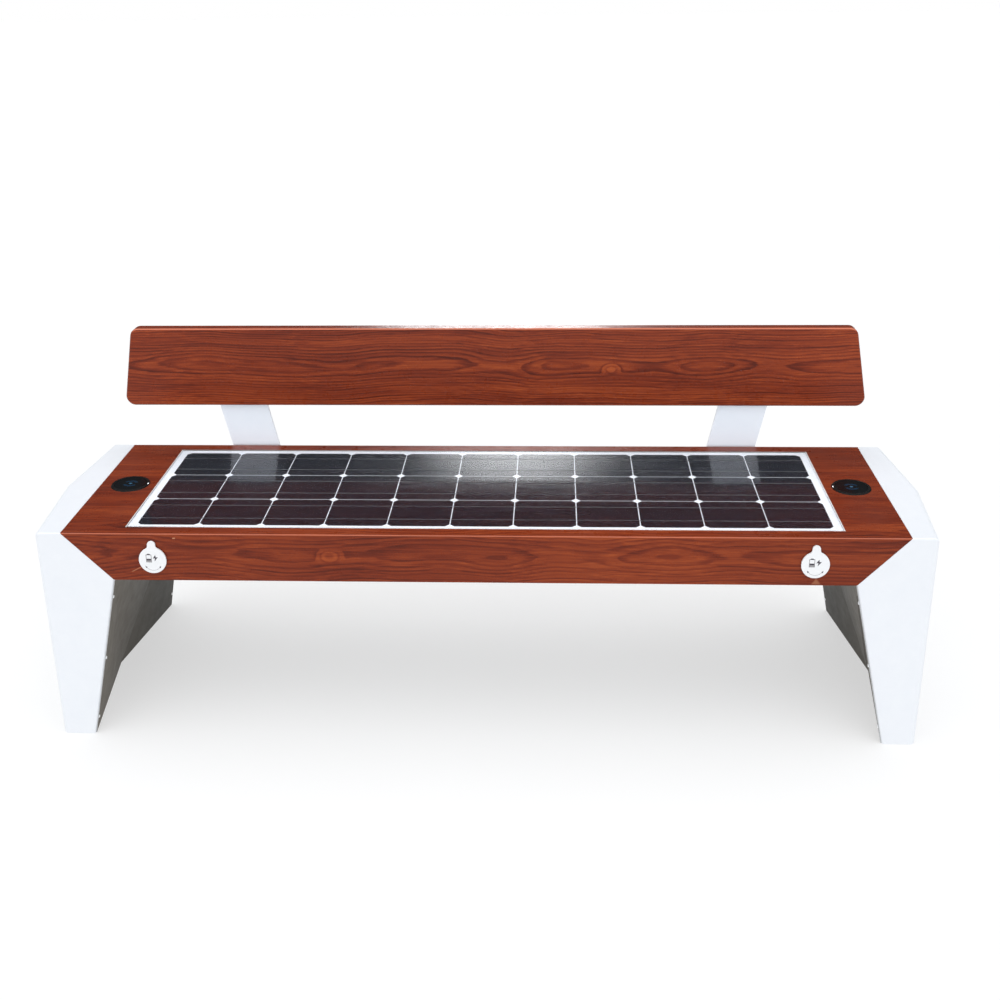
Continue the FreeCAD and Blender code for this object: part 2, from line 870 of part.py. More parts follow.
def rivet_spots():
    """Where the rivets of the right leg meet the knee's facets, with the facets' normals."""
    spots = []
    normal = facet_normal()
    for step in range(3):
        z = amount("rivet_low") + step * amount("rivet_spacing")
        face = amount(face_y("seat_height")) - z * amount(SLOPE)
        lean = amount(f"(foot_reach - wood_length / 2 + mitre_run) / {APRON_FOOT}")
        inward = amount("rivet_inset")
        x = amount("foot_reach") - lean * z + amount(KNEE) * inward
        for side in (-1, 1):
            spots.append(
                (Vector(x, side * (face - inward), z), Vector(normal.x, -side * normal.y, normal.z))
            )
    return spots


def rivet_holes(length):
    """Pins through every rivet spot, long enough to cut both sheets."""
    return [
        bar(at - n * length, n, amount("rivet_hole"), 2 * length) for at, n in rivet_spots()
    ]


def leg_shell():
    """White folded sheet: wing at seat level, leaning front and rear faces, chevron side."""
    skin = rounded_leg(0).cut(rounded_leg(amount("leg_sheet")))
    flange = amount("leg_flange")
    window = slab(
        amount(face_y("0")) - flange,
        amount(face_y("seat_height")) - flange,
        -amount("overrun"),
        amount(f"{TRAY_FOOT} + seat_clearance"),
        0,
        amount("knee_ridge + leg_sheet + overrun"),
    )
    skin = skin.cut(window)
    for pin in rivet_holes(amount("2 * leg_sheet")):
        skin = skin.cut(pin)
    shell = shaped(skin.removeSplitter(), "right_leg_shell")
    mirrored(shell, "left_leg_shell")


def leg_liner():
    """Faceted inner sheet of the leg, riveted over the flanges of the shell."""
    shift = -amount("liner_sheet") / facet_normal().x
    sheet_solid = knee(0).cut(knee(shift))
    setback = amount("liner_setback")
    room = slab(
        amount(face_y("0")) - setback,
        amount(face_y("seat_height")) - setback,
        0,
        amount(f"{APRON_FOOT} - joint_gap"),
        amount("wood_length / 4"),
        amount("ridge_reach"),
    )
    liner = sheet_solid.common(room)
    for pin in rivet_holes(amount("2 * leg_sheet")):
        liner = liner.cut(pin)
    right = shaped(liner.removeSplitter(), "right_leg_liner")
    mirrored(right, "left_leg_liner")


def liner_rivets():
    """Three rivets along each edge of the liner."""
    sheet_pair = amount("liner_sheet + leg_sheet + overrun / 5")
    lift = amount("liner_sheet")
    rivets = []
    for at, n in rivet_spots():
        seat = at - n * lift
        head = button(
            seat, -n, amount("rivet_head"), amount("rivet_head * 2 / 3"), amount("rivet_rise")
        )
        shank = stem(seat, n, amount("rivet_hole - 2 * running_gap"), sheet_pair)
        rivets.append(head.fuse(shank).removeSplitter())
    right = shaped(Part.makeCompound(rivets), "right_liner_rivets")
    mirrored(right, "left_liner_rivets")


def foot_plate():
    """Chevron plate inside the foot of the leg, with two holes for floor anchors."""
    body = new_body("right_foot_plate")
    end = f"({face_y('seat_height')} - leg_sheet - foot_plate * {SLOPE} - seat_clearance)"
    outer = "(ridge_reach - leg_sheet - seat_clearance)"
    inner = "(knee_ridge + leg_sheet * 1.1 + seat_clearance)"
    corner = "(leg_bend - leg_sheet)"
    outline = [
        (f"{inner} - {KNEE} * {end}", f"-{end}"),
        (f"{outer} - {CHEVRON} * {end} - {corner}", f"-{end}"),
        (f"{outer} - {CHEVRON} * {end}", f"-{end} + {corner}"),
        (outer, "0"),
        (f"{outer} - {CHEVRON} * {end}", f"{end} - {corner}"),
        (f"{outer} - {CHEVRON} * {end} - {corner}", end),
        (f"{inner} - {KNEE} * {end}", end),
        (inner, "0"),
    ]
    holes = [("circle", "anchor_x", f"{side}anchor_y", "anchor_hole") for side in ("", "-")]
    pad(body, draw(body, "XY_Plane", outline, *holes), "foot_plate")
    named(body, "right_foot_plate")
    mirrored(body, "left_foot_plate")


def access_door():
    """Screwed plate over the battery, on the front half of the right leg's middle facet."""
    shift = -amount("liner_sheet") / facet_normal().x
    lean = amount(f"(knee_ridge - wood_length / 2 + mitre_run) / {APRON_FOOT}")
    middle = Vector(1, 0, lean).normalize()
    ridge = amount("knee_ridge") + shift

    def on_facet(z, y):
        return Vector(ridge - lean * z, y, z)

    def fold_y(z):
        return -amount(face_y("apron_drop")) * z / amount(APRON_FOOT)

    inset = amount("door_inset")
    top_front = amount(f"{APRON_FOOT} - door_rear / 2")
    top_rear = amount(f"{APRON_FOOT} - door_front + door_foot")
    low = amount("door_foot")
    outline = [
        on_facet(top_front, fold_y(top_front) + inset),
        on_facet(top_rear, 0),
        on_facet(low, 0),
        on_facet(low, fold_y(low) + inset / 2),
    ]
    plate = prism(outline, -middle * amount("door_sheet"))
    return shaped(plate, "access_door")


# Solar panel

def solar_panel():
    """Glass, ribbons, cells and backsheet, laid on each other and flush with the seat."""
    glass = new_body("solar_glass")
    half_x = "(panel_length / 2)"
    half_y = "(panel_width / 2)"
    pane = rectangle(f"-{half_x}", half_x, f"-{half_y}", half_y)
    pad(glass, draw(glass, "XY_Plane", pane, lift=GLASS_FOOT), "glass_sheet")
    top = amount("seat_height")
    soften(
        glass,
        "glass_edge",
        lambda edge: all(abs(v.Z - top) < 0.01 for v in edge.Vertexes),
        kind="Chamfer",
    )
    named(glass, "solar_glass")

    ribbons = new_body("cell_ribbons")
    row = f"(-(cell_rows - 1) * {CELL_PITCH} / 2)"
    reach = f"(cell_columns * {CELL_PITCH} / 2)"
    strips = [
        rectangle(
            f"-{reach}",
            reach,
            f"{row} + {step} * cell_size - ribbon_width / 2",
            f"{row} + {step} * cell_size + ribbon_width / 2",
        )
        for step in (-0.25, 0.25)
    ]
    first = pad(ribbons, draw(ribbons, "XY_Plane", *strips, lift=CELL_TOP), "ribbon_sheet")
    repeat(ribbons, first, "Y_Axis", f"(cell_rows - 1) * {CELL_PITCH}", "cell_rows")
    named(ribbons, "cell_ribbons")

    cells = new_body("solar_cells")
    # Each is cut from a round slice, whose arc is nearly straight at the corners
    flat = "sqrt((cell_round / 2) ^ 2 - (cell_size / 2) ^ 2)"
    side = "cell_size / 2"
    column = f"(-(cell_columns - 1) * {CELL_PITCH} / 2)"
    outline = [
        (f"{column} - {flat}", f"{row} - {side}"),
        (f"{column} + {flat}", f"{row} - {side}"),
        (f"{column} + {side}", f"{row} - {flat}"),
        (f"{column} + {side}", f"{row} + {flat}"),
        (f"{column} + {flat}", f"{row} + {side}"),
        (f"{column} - {flat}", f"{row} + {side}"),
        (f"{column} - {side}", f"{row} + {flat}"),
        (f"{column} - {side}", f"{row} - {flat}"),
    ]
    first = pad(cells, draw(cells, "XY_Plane", outline, lift=BACK_TOP), "cell_sheet")
    repeat(
        cells,
        first,
        "X_Axis",
        f"(cell_columns - 1) * {CELL_PITCH}",
        "cell_columns",
        second=("Y_Axis", f"(cell_rows - 1) * {CELL_PITCH}", "cell_rows"),
    )
    named(cells, "solar_cells")

    box(
        "solar_backsheet",
        "panel_length",
        "panel_width",
        "back_sheet",
        "-panel_length / 2",
        "-panel_width / 2",
        BACK_FOOT,
    )


def panel_seal():
    """Rubber frame: a lip between seat and tray, and a bead up the panel's edge."""
    body = new_body("panel_seal")
    inner = rectangle(
        "-panel_length / 2", "panel_length / 2", "-panel_width / 2", "panel_width / 2"
    )
    lip = rectangle(
        f"-({PANEL_HOLE_X} + seal_lip)",
        f"{PANEL_HOLE_X} + seal_lip",
        f"-({PANEL_HOLE_Y} + seal_lip)",
        f"{PANEL_HOLE_Y} + seal_lip",
    )
    bead = rectangle(f"-{PANEL_HOLE_X}", PANEL_HOLE_X, f"-{PANEL_HOLE_Y}", PANEL_HOLE_Y)
    lip_tall = f"seat_height - wood_sheet - {BACK_FOOT}"
    pad(body, draw(body, "XY_Plane", lip, inner, lift=BACK_FOOT), lip_tall)
    bead_tall = f"seat_height - glass_edge - {BACK_FOOT}"
    pad(body, draw(body, "XY_Plane", bead, inner, lift=BACK_FOOT), bead_tall)
    return named(body, "panel_seal")


def panel_tray():
    """Sheet that carries the panel, with a window for the junction box."""
    body = new_body("panel_tray")
    plate = rectangle(
        f"-({PANEL_HOLE_X} + seal_lip)",
        f"{PANEL_HOLE_X} + seal_lip",
        f"-({PANEL_HOLE_Y} + seal_lip)",
        f"{PANEL_HOLE_Y} + seal_lip",
    )
    window = rectangle(
        "-box_length / 2 - overrun",
        "box_length / 2 + overrun",
        "-box_width / 2 - overrun",
        "box_width / 2 + overrun",
    )
    pad(body, draw(body, "XY_Plane", plate, window, lift=TRAY_FOOT), "tray_sheet")
    return named(body, "panel_tray")


def junction_box():
    """Sealed box on the back of the panel, where its leads leave."""
    body = new_body("junction_box")
    outline = rectangle(
        "-box_length / 2", "box_length / 2", "-box_width / 2", "box_width / 2"
    )
    pad(body, draw(body, "XY_Plane", outline, lift=BACK_FOOT), "box_depth", back=True)
    foot = amount(f"{BACK_FOOT} - box_depth")
    soften(
        body,
        "box_round",
        lambda edge: abs(edge.Vertexes[0].Z - edge.Vertexes[-1].Z) > 1
        or all(abs(v.Z - foot) < 0.01 for v in edge.Vertexes),
        kind="Chamfer",
    )
    return named(body, "junction_box")


# Electronics

def charge_controller():
    """Finned box fixed under the panel tray."""
    body = new_body("charge_controller")
    outline = rectangle(
        "cross_spacing - control_length / 2",
        "cross_spacing + control_length / 2",
        "-control_width / 2",
        "control_width / 2",
    )
    pad(body, draw(body, "XY_Plane", outline, lift=TRAY_FOOT), "control_depth", back=True)
    first_x = "(cross_spacing - (fin_count - 1) * fin_spacing / 2)"
    slot = rectangle(
        f"{first_x} - fin_slot / 2",
        f"{first_x} + fin_slot / 2",
        "-control_width / 2",
        "control_width / 2",
    )
    foot = f"({TRAY_FOOT} - control_depth + fin_depth)"
    cut = pocket(body, draw(body, "XY_Plane", slot, lift=foot), "fin_depth")
    repeat(body, cut, "X_Axis", "(fin_count - 1) * fin_spacing", "fin_count")
    return named(body, "charge_controller")


def battery():
    """Battery in the right leg, on a shelf that is fixed to the chevron side."""
    side_x = f"(ridge_reach - leg_sheet - {CHEVRON} * shelf_length / 2 - seat_clearance)"
    start = f"({side_x} - battery_thick)"
    body = new_body("battery_pack")
    outline = rectangle(start, side_x, "-battery_length / 2", "battery_length / 2")
    pad(body, draw(body, "XY_Plane", outline, lift="battery_base"), "battery_tall")
    soften(
        body,
        "battery_round",
        lambda edge: abs(edge.Vertexes[0].Z - edge.Vertexes[-1].Z) > 1,
        kind="Chamfer",
    )
    posts = [
        rectangle(
            f"{start} + battery_thick / 2 - terminal_size / 2",
            f"{start} + battery_thick / 2 + terminal_size / 2",
            f"{side}terminal_gap / 2 - terminal_size / 2",
            f"{side}terminal_gap / 2 + terminal_size / 2",
        )
        for side in ("", "-")
    ]
    top = "battery_base + battery_tall"
    pad(body, draw(body, "XY_Plane", *posts, lift=top), "terminal_rise")
    named(body, "battery_pack")

    shelf = new_body("battery_shelf")
    ledge = [
        (start, "-shelf_length / 2"),
        (side_x, "-shelf_length / 2"),
        ("ridge_reach - leg_sheet - seat_clearance", "0"),
        (side_x, "shelf_length / 2"),
        (start, "shelf_length / 2"),
    ]
    base = "battery_base - shelf_sheet"
    pad(shelf, draw(shelf, "XY_Plane", ledge, lift=base), "shelf_sheet")
    rest = rectangle(
        f"{side_x} - shelf_sheet", side_x, "-shelf_length / 2", "shelf_length / 2"
    )
    pad(shelf, draw(shelf, "XY_Plane", rest, lift=base), "shelf_rise", back=True)
    return named(shelf, "battery_shelf")


# Wireless chargers

def at_charger(piece, label):
    """Places a charger piece on the seat, and makes the left one."""
    place(piece, "charger_x", "charger_y", "seat_height")
    named(piece, f"right_{label}")
    mirrored(piece, f"left_{label}")


def chargers():
    """Round charger: bezel, pad and lamp on the seat, body and ring nut under it."""
    seat = Vector(0, 0, 0)
    up = Vector(0, 0, 1)
    fine = round(amount("round_sides"))
    coarse = round(amount("barrel_sides"))
    rise = amount("bezel_rise")

    size = amount("charger_size")
    bezel = button(seat, up, size, size - 2 * amount("bezel_edge"), rise, fine)
    bore = amount("pad_size + 2 * seat_clearance")
    bezel = bezel.cut(bar(seat, up, bore, 2 * rise, fine))
    length, width = amount("lamp_length"), amount("lamp_width")
    corner = Vector(-amount("lamp_orbit") - width / 2, -length / 2, 0)
    bezel = bezel.cut(Part.makeBox(width, length, 2 * rise, corner))
    at_charger(unlisted(bezel, "charger_bezel"), "charger_bezel")

    lamp = new_body("charger_lamp")
    outline = rectangle(
        "-lamp_orbit - lamp_width / 2", "-lamp_orbit + lamp_width / 2",
        "-lamp_length / 2", "lamp_length / 2",
    )
    pad(lamp, draw(lamp, "XY_Plane", outline), "bezel_rise + lamp_rise")
    top = amount("bezel_rise + lamp_rise")
    soften(
        lamp,
        "lamp_rise",
        lambda edge: all(abs(v.Z - top) < 0.01 for v in edge.Vertexes),
        kind="Chamfer",
    )
    at_charger(lamp, "charger_lamp")

    size = amount("pad_size")
    edge = amount("pad_edge")
    side = amount("pad_sheet - pad_edge")
    disc = stem(seat + up * (rise - edge - side), up, size, side, fine)
    disc = disc.fuse(button(seat + up * (rise - edge), up, size, size - 2 * edge, edge, fine))
    at_charger(unlisted(disc, "charger_pad"), "charger_pad")

    size = amount("charger_barrel")
    case = stem(seat, -up, size, amount("charger_depth"), coarse)
    at_charger(unlisted(case, "charger_body"), "charger_body")

    under = seat - up * amount("wood_sheet")
    tall = amount("nut_tall")
    nut = stem(under, -up, amount("charger_nut"), tall, 12)
    nut = nut.cut(bar(under, -up, size + amount("2 * running_gap"), tall, coarse))
    at_charger(unlisted(nut, "charger_nut"), "charger_nut")


# USB outlets

def at_outlet(piece, label):
    """Places an outlet piece square to the sloping apron, and makes the left one."""
    piece.Placement = Placement(Vector(0, 0, 0), Rotation(Vector(1, 0, 0), 90))
    slope = link("90 deg - atan(leg_spread / seat_height)")
    piece.setExpression("Placement.Rotation.Angle", slope)
    place(piece, "usb_x", f"-{face_y('usb_drop')}", "seat_height - usb_drop")
    named(piece, f"right_{label}")
    mirrored(piece, f"left_{label}")


def usb_outlets():
    """Two-port socket with its ring nut, and the cover that turns about a pivot screw."""
    seat = Vector(0, 0, 0)
    up = Vector(0, 0, 1)
    fine = round(amount("round_sides"))
    coarse = round(amount("barrel_sides"))
    rise = amount("flange_rise")

    size = amount("usb_barrel")
    socket = stem(seat, up, amount("usb_flange"), rise, fine)
    socket = socket.fuse(stem(seat, -up, size, amount("usb_depth"), coarse))
    across, tall = amount("port_width"), amount("port_tall")
    foot = rise - amount("port_depth")
    for middle in (amount("port_spacing / 2"), -amount("port_spacing / 2")):
        corner = Vector(-across / 2, middle - tall / 2, foot)
        socket = socket.cut(Part.makeBox(across, tall, 2 * amount("port_depth"), corner))
    at_outlet(unlisted(socket, "usb_socket"), "usb_socket")

    under = seat - up * amount("wood_sheet")
    nut = bar(under, -up, amount("usb_nut"), amount("usb_nut_tall"))
    bore = bar(under, -up, size + amount("2 * running_gap"), amount("usb_nut_tall"), coarse)
    at_outlet(unlisted(nut.cut(bore), "usb_nut"), "usb_nut")

    back = "(flange_rise + cover_gap)"
    cover = new_body("usb_cover")
    pad(cover, draw(cover, "XY_Plane", ("circle", "0", "0", "cover_size"), lift=back), "cover_thick")
    tab = [
        ("-tab_size / 2", "0"),
        ("tab_size / 2", "0"),
        ("tab_size / 2", "tab_rise", "tab_size / 2 + running_gap / 10"),
        ("-tab_size / 2", "tab_rise"),
    ]
    pad(cover, draw(cover, "XY_Plane", tab, lift=back), "cover_thick")
    neck = amount("sqrt((cover_size / 2) ^ 2 - (tab_size / 2) ^ 2)")
    soften(
        cover,
        "tab_fillet",
        lambda edge: len(edge.Vertexes) == 2
        and abs(edge.Vertexes[0].Z - edge.Vertexes[1].Z) > 1
        and abs(edge.Vertexes[0].Y - neck) < 0.5,
    )
    front = amount(f"{back} + cover_thick")
    eye = ("circle", "0", "tab_rise", "pivot_shank + 2 * running_gap")
    pocket(cover, draw(cover, "XY_Plane", eye, lift=f"{back} + cover_thick"))
    rim = amount("pivot_shank / 2 + running_gap")
    soften(
        cover,
        "pivot_sink",
        lambda edge: abs(edge.Length - 2 * math.pi * rim) < 0.01
        and abs(edge.Vertexes[0].Z - front) < 0.01,
        kind="Chamfer",
    )
    at_outlet(cover, "usb_cover")

    seat_face = Vector(0, amount("tab_rise"), 0)
    size = amount("pivot_shank")
    sink = amount("pivot_sink")
    behind = seat_face - up * amount("wood_sheet + pivot_nut")
    under_head = seat_face + up * (front - sink)
    pivot = stem(behind, up, size, under_head.z - behind.z, coarse)
    pivot = pivot.fuse(button(under_head, up, size, size + 2 * sink, sink, coarse))
    spacer = amount(f"{back} - running_gap")
    pivot = pivot.fuse(bar(seat_face, up, amount("pivot_collar"), spacer, 12))
    pivot = pivot.fuse(bar(behind, up, amount("pivot_collar"), amount("pivot_nut")))
    at_outlet(unlisted(pivot, "usb_pivot"), "usb_pivot")


# Backrest

def board_outline(inset):
    """The board's rounded outline, wider at its foot than at its top, drawn in by inset."""
    lean = "((board_foot - board_top) / 2 / board_tall)"
    slant = f"sqrt(1 + {lean} ^ 2)"
    radius = f"(board_round - {inset})"
    foot = f"({BOARD_FOOT} + {inset})"
    top = f"({BOARD_FOOT} + board_tall - {inset})"
    foot_half = f"(board_foot / 2 - {inset} * ({slant} + {lean}))"
    top_half = f"(board_top / 2 - {inset} * ({slant} - {lean}))"
    foot_run = f"({radius} * ({slant} + {lean}))"
    top_run = f"({radius} * ({slant} - {lean}))"
    right = [
        (f"{foot_half} - {foot_run}", foot, radius),
        (f"{foot_half} - {foot_run} * {lean} / {slant}", f"{foot} + {foot_run} / {slant}"),
        (f"{top_half} + {top_run} * {lean} / {slant}", f"{top} - {top_run} / {slant}", radius),
        (f"{top_half} - {top_run}", top),
    ]
    left = [
        (f"-({right[3][0]})", right[3][1], radius),
        (f"-({right[2][0]})", right[2][1]),
        (f"-({right[1][0]})", right[1][1], radius),
        (f"-({right[0][0]})", right[0][1]),
    ]
    return right + left


def backrest_board():
    """Folded wood-grain box: front skin, returns all round, and a lip at the rear."""
    body = new_body("backrest_board")
    front = "seat_depth / 2"
    back = BOARD_BACK
    pad(body, draw(body, "XZ_Plane", board_outline("0"), lift=f"-{back}"), "board_depth")
    edge_y = amount(front)
    soften(
        body,
        "board_edge",
        lambda edge: all(abs(v.Y - edge_y) < 0.01 for v in edge.Vertexes),
        kind="Chamfer",
    )
    room = draw(
        body, "XZ_Plane", board_outline("board_sheet"), lift=f"-({front} + board_sheet)"
    )
    pocket(body, room, "board_depth - 2 * board_sheet")
    window = draw(
        body, "XZ_Plane", board_outline("board_lip"), lift=f"-({back} - board_sheet)"
    )
    pocket(body, window, "board_sheet")
    slots = []
    for side in ("", "-"):
        middle = f"{side}{support_at(BOARD_FOOT)}"
        half = "(support_width / 2 + 4 * bolt_clearance)"
        slots.append(
            rectangle(
                f"{middle} - {half}",
                f"{middle} + {half}",
                f"{SUPPORT_FRONT} - bolt_clearance",
                f"{SUPPORT_FRONT} + support_sheet + bolt_clearance",
            )
        )
    floor = draw(body, "XY_Plane", *slots, lift=f"{BOARD_FOOT} + board_sheet")
    pocket(body, floor, "2 * board_sheet")
    return named(body, "backrest_board")


def rear_screw_spots():
    """Where the rear cover is screwed to the board's lip, along its top and its foot."""
    count = round(amount("rear_screw_count"))
    inset = amount("board_lip / 2 + rear_inset / 2")
    low = amount(BOARD_FOOT) + inset
    high = amount(f"{BOARD_FOOT} + board_tall") - inset
    span = amount("board_top - 4 * board_lip")
    return [
        (span * (i / (count - 1) - 0.5), z) for i in range(count) for z in (low, high)
    ]


def rear_cover():
    """Sheet screwed over the board's open rear."""
    body = new_body("backrest_rear_cover")
    lift = f"-({BOARD_BACK} + rear_sheet)"
    plate = draw(body, "XZ_Plane", board_outline("rear_inset"), lift=lift)
    pad(body, plate, "rear_sheet")
    return named(body, "backrest_rear_cover")


def board_bars():
    """Two stiffening tubes behind the board's skin, which the support plates bolt to."""
    body = new_body("backrest_bars")
    front = "(seat_depth / 2 + board_sheet)"
    low = f"({BOARD_FOOT} + bar_low - bar_tall / 2)"
    outer = rectangle(front, SUPPORT_FRONT, low, f"{low} + bar_tall")
    wall = "(tube_wall / 2)"
    inner = rectangle(
        f"{front} + {wall}",
        f"{SUPPORT_FRONT} - {wall}",
        f"{low} + {wall}",
        f"{low} + bar_tall - {wall}",
    )
    first = pad(body, draw(body, "YZ_Plane", outer, inner), "2 * bar_reach", both=True)
    repeat(body, first, "Z_Axis", "bar_spacing", "2")
    holes = [
        facets(f"{side}({x})", z, "board_bolt + bolt_clearance")
        for x, z in board_bolt_spots()
        for side in ("", "-")
    ]
    wall_front = draw(body, "XZ_Plane", *holes, lift=f"-({SUPPORT_FRONT} - {wall})")
    pocket(body, wall_front, wall)
    return named(body, "backrest_bars")


def board_bolt_spots():
    """Where the right support plate is bolted to the stiffening tubes, as (x, z) formulas."""
    spots = []
    for rise in ("bar_low", "(bar_low + bar_spacing)"):
        z = f"({BOARD_FOOT} + {rise})"
        for step in (0.5, -0.5):
            spots.append((f"{support_at(z)} + {step} * board_bolt_gap", z))
    return spots


def back_support():
    """Flat leaning plate from the rear apron up into the board."""
    body = new_body("right_back_support")
    low = "(seat_height - support_drop)"
    high = f"({BOARD_FOOT} + support_rise)"
    half = "support_width / 2"
    outline = [
        (f"{support_at(low)} - {half}", low),
        (f"{support_at(low)} + {half}", low),
        (f"{support_at(high)} + {half}", high),
        (f"{support_at(high)} - {half}", high),
    ]
    holes = [
        facets(support_at(height), height, "support_bolt + 2 * bolt_clearance")
        for height in bolt_heights()
    ]
    holes += [facets(x, z, "board_bolt + bolt_clearance") for x, z in board_bolt_spots()]
    lift = f"-({SUPPORT_FRONT} + support_sheet)"
    pad(body, draw(body, "XZ_Plane", outline, *holes, lift=lift), "support_sheet")
    ends = (amount(low), amount(high))
    soften(
        body,
        "support_round",
        lambda edge: abs(edge.Vertexes[0].Y - edge.Vertexes[-1].Y) > 1
        and any(abs(edge.Vertexes[0].Z - end) < 0.01 for end in ends),
    )
    named(body, "right_back_support")
    mirrored(body, "left_back_support")


def backing_plate():
    """Plate inside the rear apron, behind which the support bolts are tightened."""
    body = new_body("right_backing_plate")
    middle = "(bolt_drop + bolt_spacing / 2)"
    high = f"({middle} - backing_tall / 2)"
    low = f"({middle} + backing_tall / 2)"
    outline = [
        (f"{face_y(high)} - wood_sheet", f"seat_height - {high}"),
        (f"{face_y(high)} - wood_sheet - backing_sheet", f"seat_height - {high}"),
        (f"{face_y(low)} - wood_sheet - backing_sheet", f"seat_height - {low}"),
        (f"{face_y(low)} - wood_sheet", f"seat_height - {low}"),
    ]
    height = f"(seat_height - {middle})"
    start = f"{support_at(height)} - backing_width / 2"
    pad(body, draw(body, "YZ_Plane", outline, lift=start), "backing_width")
    holes = [
        facets(support_at(spot), spot, "support_bolt + 2 * bolt_clearance")
        for spot in bolt_heights()
    ]
    pocket(body, draw(body, "XZ_Plane", *holes))
    named(body, "right_backing_plate")
    mirrored(body, "left_backing_plate")


def support_fasteners():
    """Bolts, nuts and bevelled spacers that hold both support plates to the rear apron."""
    size = amount("support_bolt")
    plate_back = amount(f"{SUPPORT_FRONT} + support_sheet")
    to_front = Vector(0, -1, 0)
    bolts = []
    nuts = []
    spacers = []
    bore = amount("support_bolt + 2 * bolt_clearance")
    wall = slab(
        amount(face_y("0")),
        amount(face_y("seat_height")),
        0,
        amount("seat_height"),
        -amount("ridge_reach"),
        amount("ridge_reach"),
    )
    for formula in bolt_heights():
        z = amount(formula)
        inner = amount(face_y(f"seat_height - {formula}")) - amount("wood_sheet + backing_sheet")
        nut_y = inner - size / 2 * amount(SLOPE) * 2
        for side in (1, -1):
            x = side * amount(support_at(formula))
            at = Vector(x, plate_back, z)
            length = plate_back - nut_y + size
            shank = stem(at, to_front, size, length)
            head = bar(at, Vector(0, 1, 0), 1.6 * size, 0.64 * size)
            bolts.append(shank.fuse(head))
            nut = bar(Vector(x, nut_y, z), to_front, 1.6 * size, 0.8 * size)
            hole = bar(Vector(x, nut_y, z), to_front, size + amount("running_gap"), size)
            nuts.append(nut.cut(hole))
            front = amount(SUPPORT_FRONT)
            tube = bar(Vector(x, front, z), to_front, amount("spacer_size"), 2 * size, 12)
            tube = tube.cut(bar(Vector(x, front, z), to_front, bore, 2 * size))
            spacers.append(tube.cut(wall))
    shaped(Part.makeCompound(bolts), "support_bolts")
    shaped(Part.makeCompound(nuts), "support_nuts")
    shaped(Part.makeCompound(spacers), "support_spacers")


def board_fasteners():
    """Bolts through the support plates into the stiffening tubes, and the rear cover's screws."""
    size = amount("board_bolt")
    back = amount(f"{SUPPORT_FRONT} + support_sheet")
    length = amount("support_sheet + tube_wall + overrun")
    bolts = []
    for x_formula, z_formula in board_bolt_spots():
        for side in (1, -1):
            at = Vector(side * amount(x_formula), back, amount(z_formula))
            shank = stem(at, Vector(0, -1, 0), size, length)
            head = button(at, Vector(0, 1, 0), 1.6 * size, size, 0.45 * size)
            bolts.append(shank.fuse(head).removeSplitter())
    shaped(Part.makeCompound(bolts), "board_bolts")
    size = amount("rear_screw")
    plate = amount(f"{BOARD_BACK} + rear_sheet")
    heads = [
        button(Vector(x, plate, z), Vector(0, 1, 0), 2 * size, 1.4 * size, size / 2)
        for x, z in rear_screw_spots()
    ]
    shaped(Part.makeCompound(heads), "rear_cover_screws")


seat_top()
bottom_cover()
cover_screws()
rail("front_rail", "-")
rail("rear_rail", "")
cross_members()
leg_beam()
frame_bolts()
leg_shell()
leg_liner()
liner_rivets()
foot_plate()
access_door()
solar_panel()
panel_seal()
panel_tray()
junction_box()
charge_controller()
battery()
chargers()
usb_outlets()
backrest_board()
rear_cover()
board_bars()
back_support()
backing_plate()
support_fasteners()
board_fasteners()

doc.recompute()
for thing in doc.Objects:
    if "Invalid" in thing.State or "Error" in thing.State:
        raise RuntimeError(f"{thing.Label} failed: {thing.State}")
os.makedirs("parts", exist_ok=True)
for node in nodes:
    if node.Shape.isNull() or not node.Shape.isValid():
        raise RuntimeError(f"{node.Label} has no valid shape")
    node.Shape.exportStep(f"parts/{node.Label}.step")
    solids = len(node.Shape.Solids)
    print(f"{node.Label}: {solids} solids, {node.Shape.Volume / 1000:.1f} cm3")
print(len(nodes), "nodes")
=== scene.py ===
# %% [markdown]
# # A solar charging bench
# The bench is a folded steel seat and a backrest board, both in a wood-print coat, on two hollow white legs.
# Its construction model is already packed as one solid per piece, so this lesson doesn't remodel it.
# It loads those solids, gives each a finish, and adds the small things that are only seen:
# signs on the covers, marks on the charging pads, and the metal inside the ports.

# %% Load the construction model
import math

import bmesh
import bpy
from mathutils import Euler, Matrix, Vector


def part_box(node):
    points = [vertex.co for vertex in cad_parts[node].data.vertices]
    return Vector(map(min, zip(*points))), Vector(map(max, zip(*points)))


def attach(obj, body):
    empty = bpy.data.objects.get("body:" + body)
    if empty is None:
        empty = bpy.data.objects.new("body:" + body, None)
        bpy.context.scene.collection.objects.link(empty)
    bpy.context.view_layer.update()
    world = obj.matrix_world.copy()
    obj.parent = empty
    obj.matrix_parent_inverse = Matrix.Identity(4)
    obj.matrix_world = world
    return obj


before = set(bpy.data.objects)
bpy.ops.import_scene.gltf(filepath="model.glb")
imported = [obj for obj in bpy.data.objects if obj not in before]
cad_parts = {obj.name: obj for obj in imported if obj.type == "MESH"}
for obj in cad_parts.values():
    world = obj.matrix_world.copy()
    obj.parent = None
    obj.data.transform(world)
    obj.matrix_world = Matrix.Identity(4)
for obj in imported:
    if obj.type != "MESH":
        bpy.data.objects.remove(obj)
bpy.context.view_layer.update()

# %% [markdown]
# ## Camera
# The photograph looks down at the bench from a standing person's height, a little right of its middle.
# The seat's four corners and the feet gave the place and the turn of the camera, so both are numbers here.
# They also gave the focal length in pixels of a picture 1000 pixels wide, which makes a 43.5 mm lens here.

# %% Stand the camera where the photographer stood
picture_width = 1000
focal_length = 1208.64
sensor_width = 36
camera_place = (0.14219, -2.36005, 1.49451)
camera_turn = (0.4274, 0.04352, 0.005116)

